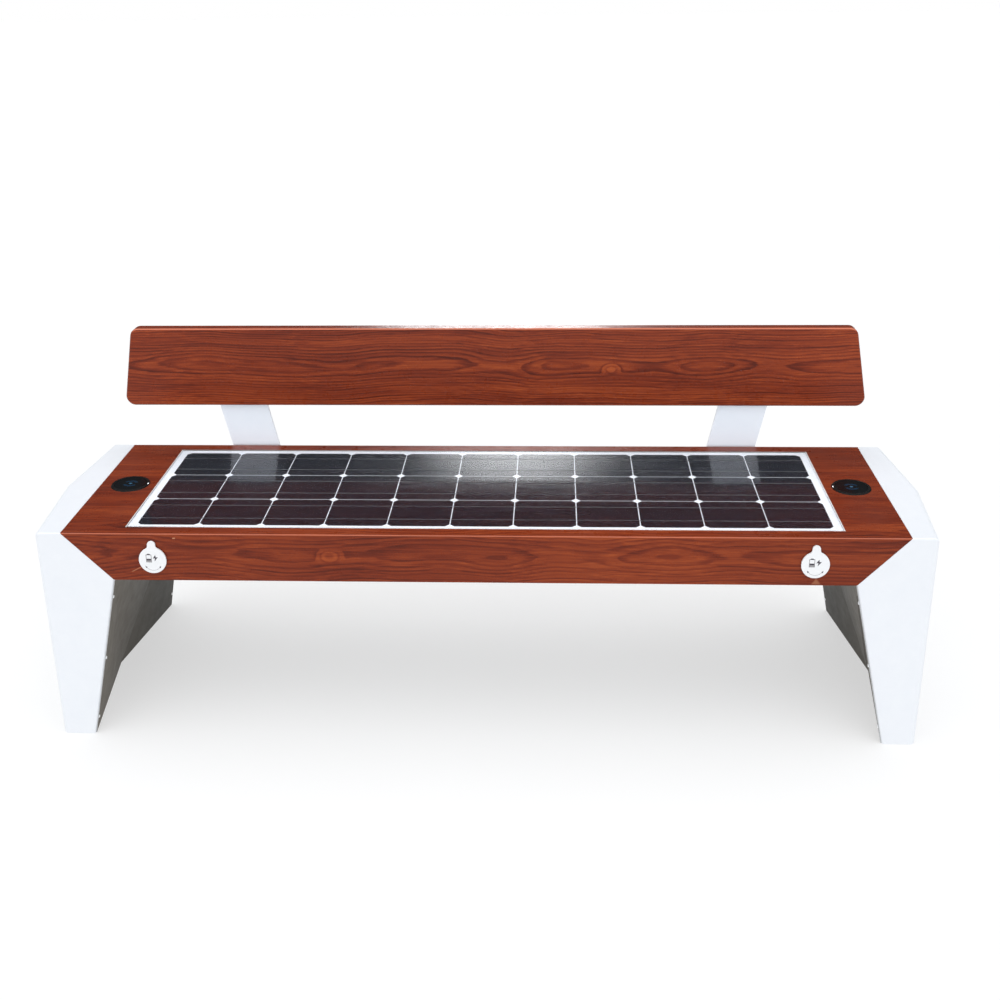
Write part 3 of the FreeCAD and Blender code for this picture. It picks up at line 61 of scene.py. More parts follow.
camera_data = bpy.data.cameras.new("photographer")
camera_data.sensor_width = sensor_width
camera_data.lens = focal_length / picture_width * sensor_width
camera_data.clip_start = 0.05
camera_data.clip_end = 200
camera = bpy.data.objects.new("photographer", camera_data)
bpy.context.scene.collection.objects.link(camera)

level_and_ahead = Matrix(((1, 0, 0), (0, 0, -1), (0, 1, 0)))
to_the_right, down, ahead = Euler(camera_turn, "XYZ").to_matrix() @ level_and_ahead
axes = Matrix((to_the_right, -down, -ahead)).transposed().to_4x4()
camera.matrix_world = Matrix.Translation(camera_place) @ axes
bpy.context.scene.camera = camera
dip = math.degrees(math.asin(-ahead.z))
print("the camera looks down", round(dip, 1), "degrees with a", round(camera_data.lens, 1), "mm lens")

# %% [markdown]
# ## Helpers for materials
# A material is a small machine of nodes, and a few helpers keep each one readable.
# `fill` sets a socket or wires it, and `lay` puts down a node with its options and inputs.
# `reckon` does sums with numbers, and `join` does them with places.


# %% Lay a node, and reckon with numbers and places
def fill(tree, socket, value):
    """Wires another node's output into the socket, or sets the socket to a plain value or colour."""
    if isinstance(value, bpy.types.NodeSocket):
        tree.links.new(value, socket)
    elif socket.type == "RGBA":
        socket.default_value = (*value, 1)
    else:
        socket.default_value = value


def lay(tree, kind, options=None, inputs=None):
    """Adds a node with its options. An input is a plain value, or another node's output."""
    step = tree.nodes.new(kind)
    for name, value in (options or {}).items():
        setattr(step, name, value)
    for name, value in (inputs or {}).items():
        fill(tree, step.inputs[name], value)
    return step


def reckon(tree, sum_kind, *values, clamp=False):
    """One sum, such as MULTIPLY or ADD, of plain values or outputs."""
    options = {"operation": sum_kind, "use_clamp": clamp}
    return lay(tree, "ShaderNodeMath", options, dict(enumerate(values))).outputs[0]


def join(tree, sum_kind, first, second):
    """One sum of two places, part by part, such as ADD or SUBTRACT."""
    return lay(tree, "ShaderNodeVectorMath", {"operation": sum_kind}, {0: first, 1: second}).outputs[0]


def stretch(tree, place, x, y, z):
    """The place with each axis multiplied, so a pattern runs long where the number is small."""
    return join(tree, "MULTIPLY", place, (x, y, z))


def scaled(tree, place, size):
    """The place with all axes multiplied by one number."""
    return lay(tree, "ShaderNodeVectorMath", {"operation": "SCALE"}, {0: place, "Scale": size}).outputs[0]


def parts(tree, place):
    """The X, Y and Z of a place."""
    return lay(tree, "ShaderNodeSeparateXYZ", None, {0: place}).outputs


def facing(tree):
    """The X, Y and Z of the direction in which the surface faces."""
    return parts(tree, lay(tree, "ShaderNodeNewGeometry").outputs["Normal"])


# %% [markdown]
# The next helpers turn numbers into masks, patterns and colours. A mask is 0 where an effect is off and 1
# where it is on, and `rescale` makes one from any number.


# %% Rescale, shade by steps, mix and make noise
def rescale(tree, value, low, high, to_low=0.0, to_high=1.0, soft=False):
    """Stretches the range low to high over to_low to to_high, and holds it there outside."""
    options = {"interpolation_type": "SMOOTHSTEP"} if soft else {"clamp": True}
    inputs = {0: value, 1: low, 2: high, 3: to_low, 4: to_high}
    return lay(tree, "ShaderNodeMapRange", options, inputs).outputs[0]


def spread(tree, noise, low=0.0, high=1.0):
    """Stretches a noise, which seldom leaves 0.3 to 0.7, over low to high."""
    return rescale(tree, noise, 0.3, 0.7, low, high)


def shade(tree, value, steps):
    """A colour ramp with steps of (position, colour)."""
    ramp = lay(tree, "ShaderNodeValToRGB", None, {0: value})
    stops = ramp.color_ramp.elements
    while len(stops) < len(steps):
        stops.new(0.5)
    for stop, (position, colour) in zip(stops, steps):
        stop.position = position
        stop.color = (*colour, 1)
    return ramp.outputs["Color"]


def mix_colours(tree, share, first, second):
    """Mixes two colours; a share of 0 gives the first and 1 the second."""
    inputs = {0: share, 6: first, 7: second}
    return lay(tree, "ShaderNodeMix", {"data_type": "RGBA"}, inputs).outputs[2]


def mix_shaders(tree, share, first, second):
    """Mixes two shaders; a share of 0 gives the first and 1 the second."""
    return lay(tree, "ShaderNodeMixShader", None, {0: share, 1: first, 2: second}).outputs[0]


def cloud(tree, place, scale, detail=2.0, rough=0.5, output=0):
    """Soft noise from 0 to 1. The output is the number, or "Color" for three of them at once."""
    inputs = {"Vector": place, "Scale": scale, "Detail": detail, "Roughness": rough}
    return lay(tree, "ShaderNodeTexNoise", None, inputs).outputs[output]


# %% [markdown]
# An effect that several finishes share is a node group, which is built once and placed in each material with
# its own values. `start_group` makes an empty one with named inputs and outputs. It puts out only masks,
# heights and colours: the shader itself stays in the material, which `new_finish` starts.


# %% Start a shared effect or a finish
def start_group(name, inputs, outputs):
    """A shader node group. Inputs are (name, default), and a default of None stands for a place."""
    group = bpy.data.node_groups.new(name, "ShaderNodeTree")
    for title, default in inputs:
        holds_place = default is None or isinstance(default, tuple)
        kind = "NodeSocketVector" if holds_place else "NodeSocketFloat"
        socket = group.interface.new_socket(name=title, in_out="INPUT", socket_type=kind)
        if default is not None:
            socket.default_value = default
    for title in outputs:
        group.interface.new_socket(name=title, in_out="OUTPUT", socket_type="NodeSocketFloat")
    given = group.nodes.new("NodeGroupInput").outputs
    gives = group.nodes.new("NodeGroupOutput").inputs
    return group, given, gives


def use_group(tree, group, inputs):
    """Places a shared effect in a material and gives its outputs."""
    return lay(tree, "ShaderNodeGroup", {"node_tree": group}, inputs).outputs


finishes = {}


def new_finish(name):
    """A material with a Principled shader, and the place on the object that its patterns follow."""
    finish = bpy.data.materials.new(name)
    finishes[name] = finish
    finish.use_nodes = True
    tree = finish.node_tree
    tree.nodes.clear()
    shader = tree.nodes.new("ShaderNodeBsdfPrincipled")
    output = tree.nodes.new("ShaderNodeOutputMaterial")
    tree.links.new(shader.outputs["BSDF"], output.inputs["Surface"])
    place = tree.nodes.new("ShaderNodeTexCoord").outputs["Object"]
    return tree, shader, place


def set_shader(tree, shader, **values):
    """Fills the shader's own sockets. Underscores stand for spaces."""
    for name, value in values.items():
        fill(tree, shader.inputs[name.replace("_", " ")], value)


def bump(tree, shader, height, metres):
    """Turns a height pattern into a bump of that many metres."""
    step = lay(tree, "ShaderNodeBump", None, {"Strength": 1.0, "Distance": metres, "Height": height})
    tree.links.new(step.outputs["Normal"], shader.inputs["Normal"])


# %% [markdown]
# ## Shared effects
# Powder coat is a paint baked from dust. It flows into tiny soft hills like the skin of an orange, about a
# millimetre across, and the thin sheet under it is never quite flat.

# %% The skin of powder coat
hill_share = 0.04
sways_per_metre = 9.0
mottles_per_metre = 34.0

coat_skin, given, gives = start_group(
    "coat_skin", [("Place", None), ("Hills per metre", 700.0)], ["Height", "Mottle"]
)
hills = cloud(coat_skin, given["Place"], given["Hills per metre"], 1.0)
sway = cloud(coat_skin, given["Place"], sways_per_metre, 1.0)
height = reckon(coat_skin, "ADD", reckon(coat_skin, "MULTIPLY", hills, hill_share), sway)
coat_skin.links.new(height, gives["Height"])
coat_skin.links.new(cloud(coat_skin, given["Place"], mottles_per_metre, 4.0, 0.6), gives["Mottle"])
print("coat_skin has", len(coat_skin.nodes), "nodes")

# %% [markdown]
# Dust settles on what faces up and collects in patches, with single specks between them.
# The mask is the patches and specks together, times how far the surface faces up.

# %% Dust that has settled
patches_per_metre = 11.0
specks_per_metre = 420.0

settled_dust, given, gives = start_group("settled_dust", [("Place", None), ("Amount", 0.2)], ["Mask"])
upward = facing(settled_dust)["Z"]
patches = cloud(settled_dust, given["Place"], patches_per_metre, 6.0, 0.65)
specks = cloud(settled_dust, given["Place"], specks_per_metre, 2.0)
layer = reckon(
    settled_dust, "ADD",
    rescale(settled_dust, patches, 0.42, 0.72), rescale(settled_dust, specks, 0.62, 0.7), clamp=True,
)
lying = reckon(settled_dust, "MULTIPLY", rescale(settled_dust, upward, 0.25, 0.95), layer)
settled_dust.links.new(reckon(settled_dust, "MULTIPLY", lying, given["Amount"]), gives["Mask"])
print("settled_dust has", len(settled_dust.nodes), "nodes")

# %% [markdown]
# Rolled and brushed metal has fine lines along one direction. Noise that is drawn out about eighty times
# along X gives them.

# %% Lines of rolling and brushing
line_squeeze = 0.012
blotches_per_metre = 46.0

rolled_lines, given, gives = start_group(
    "rolled_lines", [("Place", None), ("Lines per metre", 900.0)], ["Line", "Blotch"]
)
drawn_out = stretch(rolled_lines, given["Place"], line_squeeze, 1, 1)
lines = cloud(rolled_lines, drawn_out, given["Lines per metre"], 3.0, 0.6)
rolled_lines.links.new(lines, gives["Line"])
blotches = cloud(rolled_lines, given["Place"], blotches_per_metre, 5.0, 0.65)
rolled_lines.links.new(blotches, gives["Blotch"])
print("rolled_lines has", len(rolled_lines.nodes), "nodes")

# %% [markdown]
# The seat and the board are sheet metal with the picture of red wood baked into their coat.
# A printed picture could be one flat pattern for each face. Here the whole log is imagined instead, as rings
# about a heart line that runs almost along X. Where a face cuts the rings at a slant they show as straight
# grain. Where the heart line lies close under a face and wanders, they open into long nested arches, as on a
# sawn board. So the first step is a place in the log, which three noises bend: a slow one for the wandering
# heart, a tighter one that waves the rings, and a fine one that frays them.

# %% The wood print: its sockets, and a place in the wandering log
ring_wave = 0.009
ring_fray = 0.0022

wood_print, given, gives = start_group(
    "wood_print",
    [
        ("Place", None), ("Heart", (0.0, 0.0, 0.0)), ("Ring width", 0.004), ("Wander", 0.03),
        ("Knot", (0.0, 0.0, 0.0)), ("Knot size", 0.02),
    ],
    ["Ring", "Streak", "Pore", "Tone", "Knot"],
)
bends = [
    (stretch(wood_print, given["Place"], 1.0, 0.15, 0.15), 3.4, given["Wander"]),
    (stretch(wood_print, given["Place"], 1.0, 3.5, 3.5), 6.5, ring_wave),
    (stretch(wood_print, given["Place"], 22.0, 130.0, 130.0), 1.0, ring_fray),
]
in_log = join(wood_print, "SUBTRACT", given["Place"], given["Heart"])
for drawn_out, scale, reach in bends:
    bend = cloud(wood_print, drawn_out, scale, 1.0, output="Color")
    both_ways = join(wood_print, "SUBTRACT", bend, (0.5, 0.5, 0.5))
    in_log = join(wood_print, "ADD", in_log, scaled(wood_print, both_ways, reach))
print("the log's rings are bent by", len(bends), "noises")

# %% [markdown]
# A knot is a small oval where a branch grew through, and the rings part around it. A ring darkens slowly
# through the season, and ends at once where the next spring starts. Rings aren't all alike, so each has a
# number, and a white noise on that number says how dark its late wood is.

# %% The wood print: its knot and its rings
knot_push = 0.011

to_knot = stretch(wood_print, join(wood_print, "SUBTRACT", given["Place"], given["Knot"]), 0.55, 0.0, 1.0)
to_knot = lay(wood_print, "ShaderNodeVectorMath", {"operation": "LENGTH"}, {0: to_knot}).outputs["Value"]
to_knot = reckon(wood_print, "DIVIDE", to_knot, given["Knot size"])
knot = rescale(wood_print, to_knot, 0.0, 1.0, 1.0, 0.0, soft=True)
wood_print.links.new(knot, gives["Knot"])

apart = parts(wood_print, in_log)
squares = [reckon(wood_print, "POWER", apart[axis], 2.0) for axis in ("Y", "Z")]
radius = reckon(wood_print, "SQRT", reckon(wood_print, "ADD", *squares))
radius = reckon(wood_print, "ADD", radius, reckon(wood_print, "MULTIPLY", knot, knot_push))
rings = reckon(wood_print, "DIVIDE", radius, given["Ring width"])
season = reckon(wood_print, "FRACT", rings)
darkening = rescale(wood_print, season, 0.30, 0.86, soft=True)
ending = rescale(wood_print, season, 0.88, 1.0, 1.0, 0.0, soft=True)
late = reckon(wood_print, "MULTIPLY", darkening, ending)
number = {"W": reckon(wood_print, "FLOOR", rings)}
own = lay(wood_print, "ShaderNodeTexWhiteNoise", {"noise_dimensions": "1D"}, number).outputs["Value"]
strength = rescale(wood_print, own, 0.0, 1.0, 0.15, 1.0)
wood_print.links.new(reckon(wood_print, "MULTIPLY", late, strength), gives["Ring"])
print("the knot pushes the rings", knot_push * 1000, "mm out")

# %% [markdown]
# Between the rings run streaks, short dark pores and a slow change of tone. All of them are noises that are
# drawn out along the grain.

# %% The wood print: its streaks, pores and tone
broad_share = 0.55

broad_streaks = cloud(wood_print, stretch(wood_print, in_log, 2.6, 230, 230), 1.0, 4.0, 0.62)
fine_streaks = cloud(wood_print, stretch(wood_print, in_log, 5.0, 620, 620), 1.0, 3.0, 0.6)
streaks = reckon(
    wood_print, "ADD",
    reckon(wood_print, "MULTIPLY", broad_streaks, broad_share),
    reckon(wood_print, "MULTIPLY", fine_streaks, 1 - broad_share),
)
wood_print.links.new(streaks, gives["Streak"])
dashes = cloud(wood_print, stretch(wood_print, given["Place"], 42, 1500, 1500), 1.0, 1.0, 0.5)
wood_print.links.new(rescale(wood_print, dashes, 0.58, 0.72), gives["Pore"])
tones = cloud(wood_print, stretch(wood_print, given["Place"], 1.6, 26, 26), 1.0, 3.0)
wood_print.links.new(tones, gives["Tone"])
print("wood_print has", len(wood_print.nodes), "nodes")

# %% [markdown]
# ## Finishes
# The wood print runs from orange-brown early wood to a dark red-brown in the late rings and the pores.

# %% The print's colours
streak_share = 0.56
tone_share = 0.34
knot_share = 0.3
pore_share = 0.35
pore_brown = (0.07, 0.0115, 0.006)
wood_tones = [
    (0.10, (0.355, 0.068, 0.0165)),
    (0.36, (0.258, 0.0415, 0.0102)),
    (0.62, (0.172, 0.0228, 0.0066)),
    (0.95, (0.080, 0.0102, 0.0040)),
]


def wood_colour(tree, print_of, ring_share):
    """The deeper the sum of ring, streak and tone, the darker the wood."""
    ring = reckon(tree, "MULTIPLY", print_of["Ring"], ring_share)
    streak = reckon(tree, "MULTIPLY", rescale(tree, print_of["Streak"], 0.33, 0.67), streak_share)
    tone = reckon(tree, "MULTIPLY", spread(tree, print_of["Tone"]), tone_share)
    depth = reckon(tree, "ADD", reckon(tree, "ADD", ring, streak), tone)
    depth = reckon(tree, "SUBTRACT", depth, reckon(tree, "MULTIPLY", print_of["Knot"], knot_share))
    pore = reckon(tree, "MULTIPLY", print_of["Pore"], pore_share)
    return mix_colours(tree, pore, shade(tree, depth, wood_tones), pore_brown)


print("the wood has", len(wood_tones), "tones and dark pores")

# %% [markdown]
# The print lies in one satin coat. The coat's specular level is low, because a print this deep would look
# pink under a stronger shine. Along the folds a paler colour is mixed in. It is a painted highlight for the
# line of light that a rounded fold catches. Faces that look to the rear may take their print from another
# stretch of the log.

# %% Red wood in a satin coat
# The fold's share and colour are a painted highlight along the rounded folds, not a change in the print.
fold_highlight_share = 0.7
painted_fold_highlight = (0.60, 0.18, 0.10)
bare_print = (0.60, 0.27, 0.14)
wood_dust = (0.45, 0.40, 0.36)
pore_roughness = 0.08
pore_depth = 0.02


def fold_highlight_mask(tree, face):
    """The mask of a painted highlight, for the faces that look half up and half to the front or rear, as a
    rounded fold does.
    """
    level = reckon(tree, "ABSOLUTE", face["Y"])
    slant = reckon(tree, "MULTIPLY", level, reckon(tree, "MULTIPLY", face["Z"], 2.0))
    return reckon(tree, "MULTIPLY", rescale(tree, slant, 0.6, 0.95), fold_highlight_share)


def wood_finish(name, log, ring_share, nicks=(), rear_shift=(0.0, 0.0, 0.0)):
    """Printed and coated sheet. The log holds the values of the print's sockets."""
    tree, shader, place = new_finish(name)
    face = facing(tree)
    at_rear = rescale(tree, face["Y"], 0.69, 0.71)
    place_in_log = join(tree, "ADD", place, scaled(tree, rear_shift, at_rear))
    print_of = use_group(tree, wood_print, {"Place": place_in_log, **log})
    colour = wood_colour(tree, print_of, ring_share)
    for nick, share in nicks:
        colour = mix_colours(tree, reckon(tree, "MULTIPLY", nick(tree, place), share), colour, bare_print)
    # Painted highlight: the folds are mixed towards a paler colour.
    colour = mix_colours(tree, fold_highlight_mask(tree, face), colour, painted_fold_highlight)
    dust = use_group(tree, settled_dust, {"Place": place, "Amount": 0.02})["Mask"]
    skin = use_group(tree, coat_skin, {"Place": place, "Hills per metre": 520.0})
    rough = spread(tree, skin["Mottle"], 0.25, 0.33)
    set_shader(
        tree, shader,
        Base_Color=mix_colours(tree, dust, colour, wood_dust),
        Roughness=reckon(tree, "ADD", rough, reckon(tree, "MULTIPLY", print_of["Pore"], pore_roughness)),
        Specular_IOR_Level=0.2,
    )
    pits = reckon(tree, "MULTIPLY", print_of["Pore"], pore_depth)
    bump(tree, shader, reckon(tree, "SUBTRACT", skin["Height"], pits), metres=0.0008)


# The stretched print's colour is a painted highlight along the folds.
print("a fold takes", round(fold_highlight_share * 100), "% of the stretched print's colour")

# %% [markdown]
# The seat's front has three small nicks through the print: a scratch beside the left cover, a chip above it,
# and a rubbed wedge under the right cover. Each is a mask worked out from the distance to its middle, so it
# stays where it is and needs no picture.


# %% Nicks in the seat's front
def on_seat_front(tree, place):
    """A mask for the seat's front apron."""
    behind, in_front = -0.234, -0.2355
    return rescale(tree, parts(tree, place)["Y"], behind, in_front)


def scratch(x, z, degrees, long, wide):
    """A mask for a worn line or spot about x, z, of half sizes long and wide, in metres."""
    def mask(tree, place):
        inputs = {"Vector": place, "Location": (x, 0, z), "Rotation": (0, -math.radians(degrees), 0)}
        away = lay(tree, "ShaderNodeMapping", {"vector_type": "TEXTURE"}, inputs).outputs[0]
        apart = parts(tree, away)
        along = reckon(tree, "ABSOLUTE", apart["X"])
        aside = reckon(tree, "ABSOLUTE", apart["Z"])
        along = rescale(tree, along, long * 0.6, long, 1.0, 0.0, soft=True)
        aside = rescale(tree, aside, wide * 0.3, wide, 1.0, 0.0, soft=True)
        return reckon(tree, "MULTIPLY", reckon(tree, "MULTIPLY", along, aside), on_seat_front(tree, place))
    return mask


def wedge(x, foot, top, half):
    """A mask for a rubbed wedge that points up, of half that width at its foot, in metres."""
    def mask(tree, place):
        apart = parts(tree, place)
        room = reckon(tree, "MULTIPLY", reckon(tree, "SUBTRACT", top, apart["Z"]), half / (top - foot))
        aside = reckon(tree, "ABSOLUTE", reckon(tree, "SUBTRACT", apart["X"], x))
        within = rescale(tree, reckon(tree, "SUBTRACT", aside, room), -0.004, 0.001, 1.0, 0.0, soft=True)
        over_foot = rescale(tree, apart["Z"], foot, foot + 0.003)
        inside = reckon(tree, "MULTIPLY", within, over_foot)
        return reckon(tree, "MULTIPLY", inside, on_seat_front(tree, place))
    return mask


nicks = [
    (scratch(x=-0.6895, z=0.3744, degrees=27.0, long=0.0150, wide=0.0012), 0.55),
    (scratch(x=-0.6089, z=0.4407, degrees=4.0, long=0.0034, wide=0.0017), 0.9),
    (wedge(x=0.6590, foot=0.3515, top=0.3670, half=0.0115), 0.36),
]
print("the seat's front has", len(nicks), "nicks")

# %% [markdown]
# The seat and the board are cut from logs of their own, so the board's grain doesn't repeat the seat's.
# The heart of the seat's log lies just behind the front apron, where the photograph shows arches.

# %% The two woods
seat_log = {
    "Heart": (0.0, -0.200, 0.404), "Ring width": 0.0050, "Wander": 0.030,
    "Knot": (-0.30, -0.24, 0.405), "Knot size": 0.02,
}
board_log = {
    "Heart": (0.0, 0.205, 0.642), "Ring width": 0.0052, "Wander": 0.034,
    "Knot": (0.272, 0.2, 0.637), "Knot size": 0.019,
}
wood_finish("seat_wood", seat_log, ring_share=0.40, nicks=nicks, rear_shift=(0.9, -0.475, 0.0))
wood_finish("board_wood", board_log, ring_share=0.45)
print("wood finishes:", list(finishes))

# %% [markdown]
# The legs and the board's supports are white powder coat with a faint blue cast. White paint shows little but
# its shine, so the roughness varies a little and the skin is bumped. The liners inside the legs are a dark
# olive grey, partly their own colour and partly painted shade from the hollow legs. They get darker towards
# the rear, which is painted shade. Their sheet edges face the front or rear and get a pale grey, which is
# painted light beside the legs.


# %% White powder coat and its darker kin
def coat_finish(
    name, colour, mottled, roughness, hills=700.0, dusty=0.02, metres=0.0009, dirt=(0.30, 0.27, 0.23),
    at_rear=None, painted_light_at_edge=None, shine=0.5,
):
    """Paint of two close colours. Hills are counted per metre, and metres is the bump's height. The colour at
    the rear is painted shade, mixed in towards the rear, and the colour at the edge is painted light on faces
    that look to the front or rear.
    """
    tree, shader, place = new_finish(name)
    skin = use_group(tree, coat_skin, {"Place": place, "Hills per metre": hills})
    tint = mix_colours(tree, spread(tree, skin["Mottle"]), colour, mottled)
    # Painted shade: the tint gets darker towards the rear.
    if at_rear:
        tint = mix_colours(tree, rescale(tree, parts(tree, place)["Y"], -0.22, 0.20), tint, at_rear)
    # Painted light: faces that look to the front or rear get a paler colour.
    if painted_light_at_edge:
        to_the_front = reckon(tree, "ABSOLUTE", facing(tree)["Y"])
        tint = mix_colours(tree, rescale(tree, to_the_front, 0.8, 0.95), tint, painted_light_at_edge)
    dust = use_group(tree, settled_dust, {"Place": place, "Amount": dusty})["Mask"]
    set_shader(
        tree, shader,
        Base_Color=mix_colours(tree, dust, tint, dirt),
        Roughness=spread(tree, skin["Mottle"], roughness - 0.05, roughness + 0.06),
        Specular_IOR_Level=shine,
    )
    bump(tree, shader, skin["Height"], metres)


coat_finish("white_coat", (0.845, 0.868, 0.905), (0.825, 0.85, 0.892), roughness=0.42)
# The liners' dark olive grey is partly painted shade. The rear colour is painted shade, and the edge colour
# is painted light.
coat_finish(
    "liner_coat", (0.104, 0.088, 0.065), (0.098, 0.083, 0.061), roughness=0.55, hills=420.0, metres=0.0001,
    at_rear=(0.036, 0.033, 0.026), painted_light_at_edge=(0.52, 0.53, 0.54), shine=0.3,
)
coat_finish("rivet_paint", (0.93, 0.94, 0.95), (0.88, 0.89, 0.90), roughness=0.4)
coat_finish("cover_paint", (0.88, 0.885, 0.905), (0.85, 0.86, 0.88), roughness=0.34, metres=0.0003)
coat_finish("seal_rubber", (0.80, 0.80, 0.80), (0.72, 0.72, 0.72), roughness=0.6, dusty=0.1)
print("finishes so far:", len(finishes))

# %% [markdown]
# What carries the bench is out of sight: zinc-coated beams, steel bolts, an aluminium tray.
# Each still has its own metal, because the bench is looked at from below as well.


# %% Bare metals
def metal_finish(name, colour, stained, roughness, lines=900.0):
    """Metal of two close colours, rougher along its rolled lines."""
    tree, shader, place = new_finish(name)
    rolled = use_group(tree, rolled_lines, {"Place": place, "Lines per metre": lines})
    set_shader(
        tree, shader,
        Base_Color=mix_colours(tree, rescale(tree, rolled["Blotch"], 0.35, 0.65), colour, stained),
        Metallic=1.0,
        Roughness=reckon(tree, "ADD", reckon(tree, "MULTIPLY", rolled["Line"], 0.16), roughness - 0.08),
    )
    bump(tree, shader, rolled["Line"], 0.00006)


metal_finish("galvanised", (0.50, 0.51, 0.52), (0.38, 0.39, 0.40), roughness=0.5, lines=160.0)
metal_finish("steel", (0.60, 0.60, 0.61), (0.50, 0.50, 0.50), roughness=0.34)
metal_finish("tray_metal", (0.62, 0.62, 0.63), (0.54, 0.54, 0.55), roughness=0.42)
metal_finish("ribbon_metal", (0.74, 0.74, 0.75), (0.66, 0.66, 0.68), roughness=0.4)
metal_finish("port_metal", (0.70, 0.70, 0.71), (0.60, 0.60, 0.60), roughness=0.26)
metal_finish("gilt", (0.78, 0.56, 0.24), (0.68, 0.48, 0.20), roughness=0.3)
print("finishes so far:", len(finishes))

# %% [markdown]
# The plastics are cases, sockets and pads. They differ in how fine their moulded texture is and in how much
# they shine. Each is its colour, its worn colour, its roughness, and the number and height of its hills.
# The chargers also have less dust and a lower shine, so they stay black in bright light.


# %% Moulded plastics
def plastic_finish(name, colour, worn, roughness, hills, metres, dusty=0.05, shine=0.5):
    """Moulded plastic, which is a coat with finer hills and darker dirt."""
    coat_finish(name, colour, worn, roughness, hills, dusty, metres, dirt=(0.16, 0.15, 0.14), shine=shine)


plastics = {
    "black_plastic": ((0.020, 0.020, 0.021), (0.028, 0.028, 0.029), 0.55, 1500.0, 0.0006),
    "controller_case": ((0.05, 0.05, 0.055), (0.065, 0.065, 0.07), 0.45, 1200.0, 0.0003),
    "battery_case": ((0.06, 0.06, 0.065), (0.075, 0.075, 0.08), 0.5, 1300.0, 0.0005),
    "charger_plastic": ((0.0028, 0.0028, 0.003), (0.004, 0.004, 0.0045), 0.4, 1500.0, 0.0002, 0.008, 0.2),
    "pad_gloss": ((0.0025, 0.003, 0.004), (0.0035, 0.0045, 0.0055), 0.2, 300.0, 0.0001, 0.006, 0.16),
    "socket_plastic": ((0.022, 0.022, 0.024), (0.03, 0.03, 0.032), 0.42, 1500.0, 0.0004),
    "back_film": ((0.90, 0.925, 0.97), (0.86, 0.89, 0.945), 0.55, 900.0, 0.0002),
    "tongue_plastic": ((0.75, 0.75, 0.74), (0.66, 0.66, 0.64), 0.45, 1500.0, 0.0003),
}
for name, looks in plastics.items():
    plastic_finish(name, *looks)
print("finishes so far:", len(finishes))

# %% [markdown]
# The signs on the covers are printed in dark grey, and the pads carry a faint blue mark under their gloss.
# Print is never perfectly even, so the inks vary a little, and each shines as what it is printed on does.

# %% Inks
on_cover = {"roughness": 0.5, "hills": 2000.0, "metres": 0.0001, "dusty": 0.02}
under_gloss = {"roughness": 0.22, "hills": 600.0, "metres": 0.0001, "dusty": 0.006, "shine": 0.16}
plastic_finish("cover_ink", (0.050, 0.040, 0.056), (0.080, 0.068, 0.086), **on_cover)
plastic_finish("pale_ink", (0.22, 0.21, 0.22), (0.28, 0.265, 0.27), **on_cover)
plastic_finish("pad_ink", (0.0045, 0.020, 0.042), (0.007, 0.027, 0.055), **under_gloss)
plastic_finish("pad_light_ink", (0.035, 0.110, 0.190), (0.045, 0.130, 0.215), **under_gloss)
print("finishes so far:", len(finishes))

# %% [markdown]
# A small lamp beside each pad says that it is on. It is a clear white dome that glows faintly.

# %% The lamp
tree, shader, place = new_finish("lamp_white")
skin = use_group(tree, coat_skin, {"Place": place, "Hills per metre": 900.0})
set_shader(
    tree, shader,
    Base_Color=mix_colours(tree, skin["Mottle"], (0.92, 0.94, 0.97), (0.84, 0.87, 0.92)),
    Roughness=spread(tree, skin["Mottle"], 0.16, 0.24),
    Emission_Color=shade(tree, skin["Mottle"], [(0.0, (0.9, 0.95, 1.0)), (1.0, (1.0, 1.0, 1.0))]),
    Emission_Strength=1.1,
)
print("the lamp glows at", shader.inputs["Emission Strength"].default_value)

# %% [markdown]
# A solar cell is a slice of one dark crystal with cut-off corners. Fine silver fingers cross it every 2 mm,
# and each cell is a shade bluer or browner than the next. The cells lie in a grid of 127 mm. So the place
# divided by 127 mm and rounded down gives each cell its own number, and a white noise makes that its tone.

# %% The solar cells
cell_pitch = 0.127
finger_pitch = 0.002
tone_by_cell = 0.6
silver_share = 0.5
silver = (0.10, 0.10, 0.11)
crystal_tones = [
    (0.1, (0.0050, 0.0066, 0.0104)),
    (0.5, (0.0060, 0.0070, 0.0110)),
    (0.9, (0.0082, 0.0076, 0.0112)),
]

tree, shader, place = new_finish("cell_silicon")
in_grid = join(tree, "ADD", place, (cell_pitch / 2, 0.0, 0.0))
in_grid = stretch(tree, in_grid, 1 / cell_pitch, 1 / cell_pitch, 0)
number = lay(tree, "ShaderNodeVectorMath", {"operation": "FLOOR"}, {0: in_grid}).outputs[0]
own_tone = lay(tree, "ShaderNodeTexWhiteNoise", None, {"Vector": number}).outputs["Value"]
fingers = reckon(tree, "FRACT", reckon(tree, "MULTIPLY", parts(tree, place)["X"], 1 / finger_pitch))
from_middle = reckon(tree, "ABSOLUTE", reckon(tree, "SUBTRACT", fingers, 0.5))
finger = rescale(tree, from_middle, 0.46, 0.49)
silvered = reckon(tree, "MULTIPLY", finger, silver_share)
drift = cloud(tree, stretch(tree, place, 3, 30, 1), 1.0, 2.0)
tone = reckon(
    tree, "ADD",
    reckon(tree, "MULTIPLY", own_tone, tone_by_cell), reckon(tree, "MULTIPLY", drift, 1 - tone_by_cell),
)
set_shader(
    tree, shader,
    Base_Color=mix_colours(tree, silvered, shade(tree, tone, crystal_tones), silver),
    Metallic=silvered,
    Roughness=spread(tree, drift, 0.22, 0.28),
    Specular_IOR_Level=0.12,
)
bump(tree, shader, finger, 0.00002)
print("each cell is", round(cell_pitch * 1000), "mm from the next")

# %% [markdown]
# The panel's glass is low-iron, a little matt, and coated against reflection, so its index is lower than that
# of plain glass and the cells stay dark. Light has to pass it twice to reach the white film below. For shadow
# rays the material turns transparent, which keeps the film bright without thousands of samples.

# %% The panel's glass
glass_tint = (0.985, 0.99, 1.0)
glass_dust = (0.80, 0.79, 0.77)
coated_index = 1.12

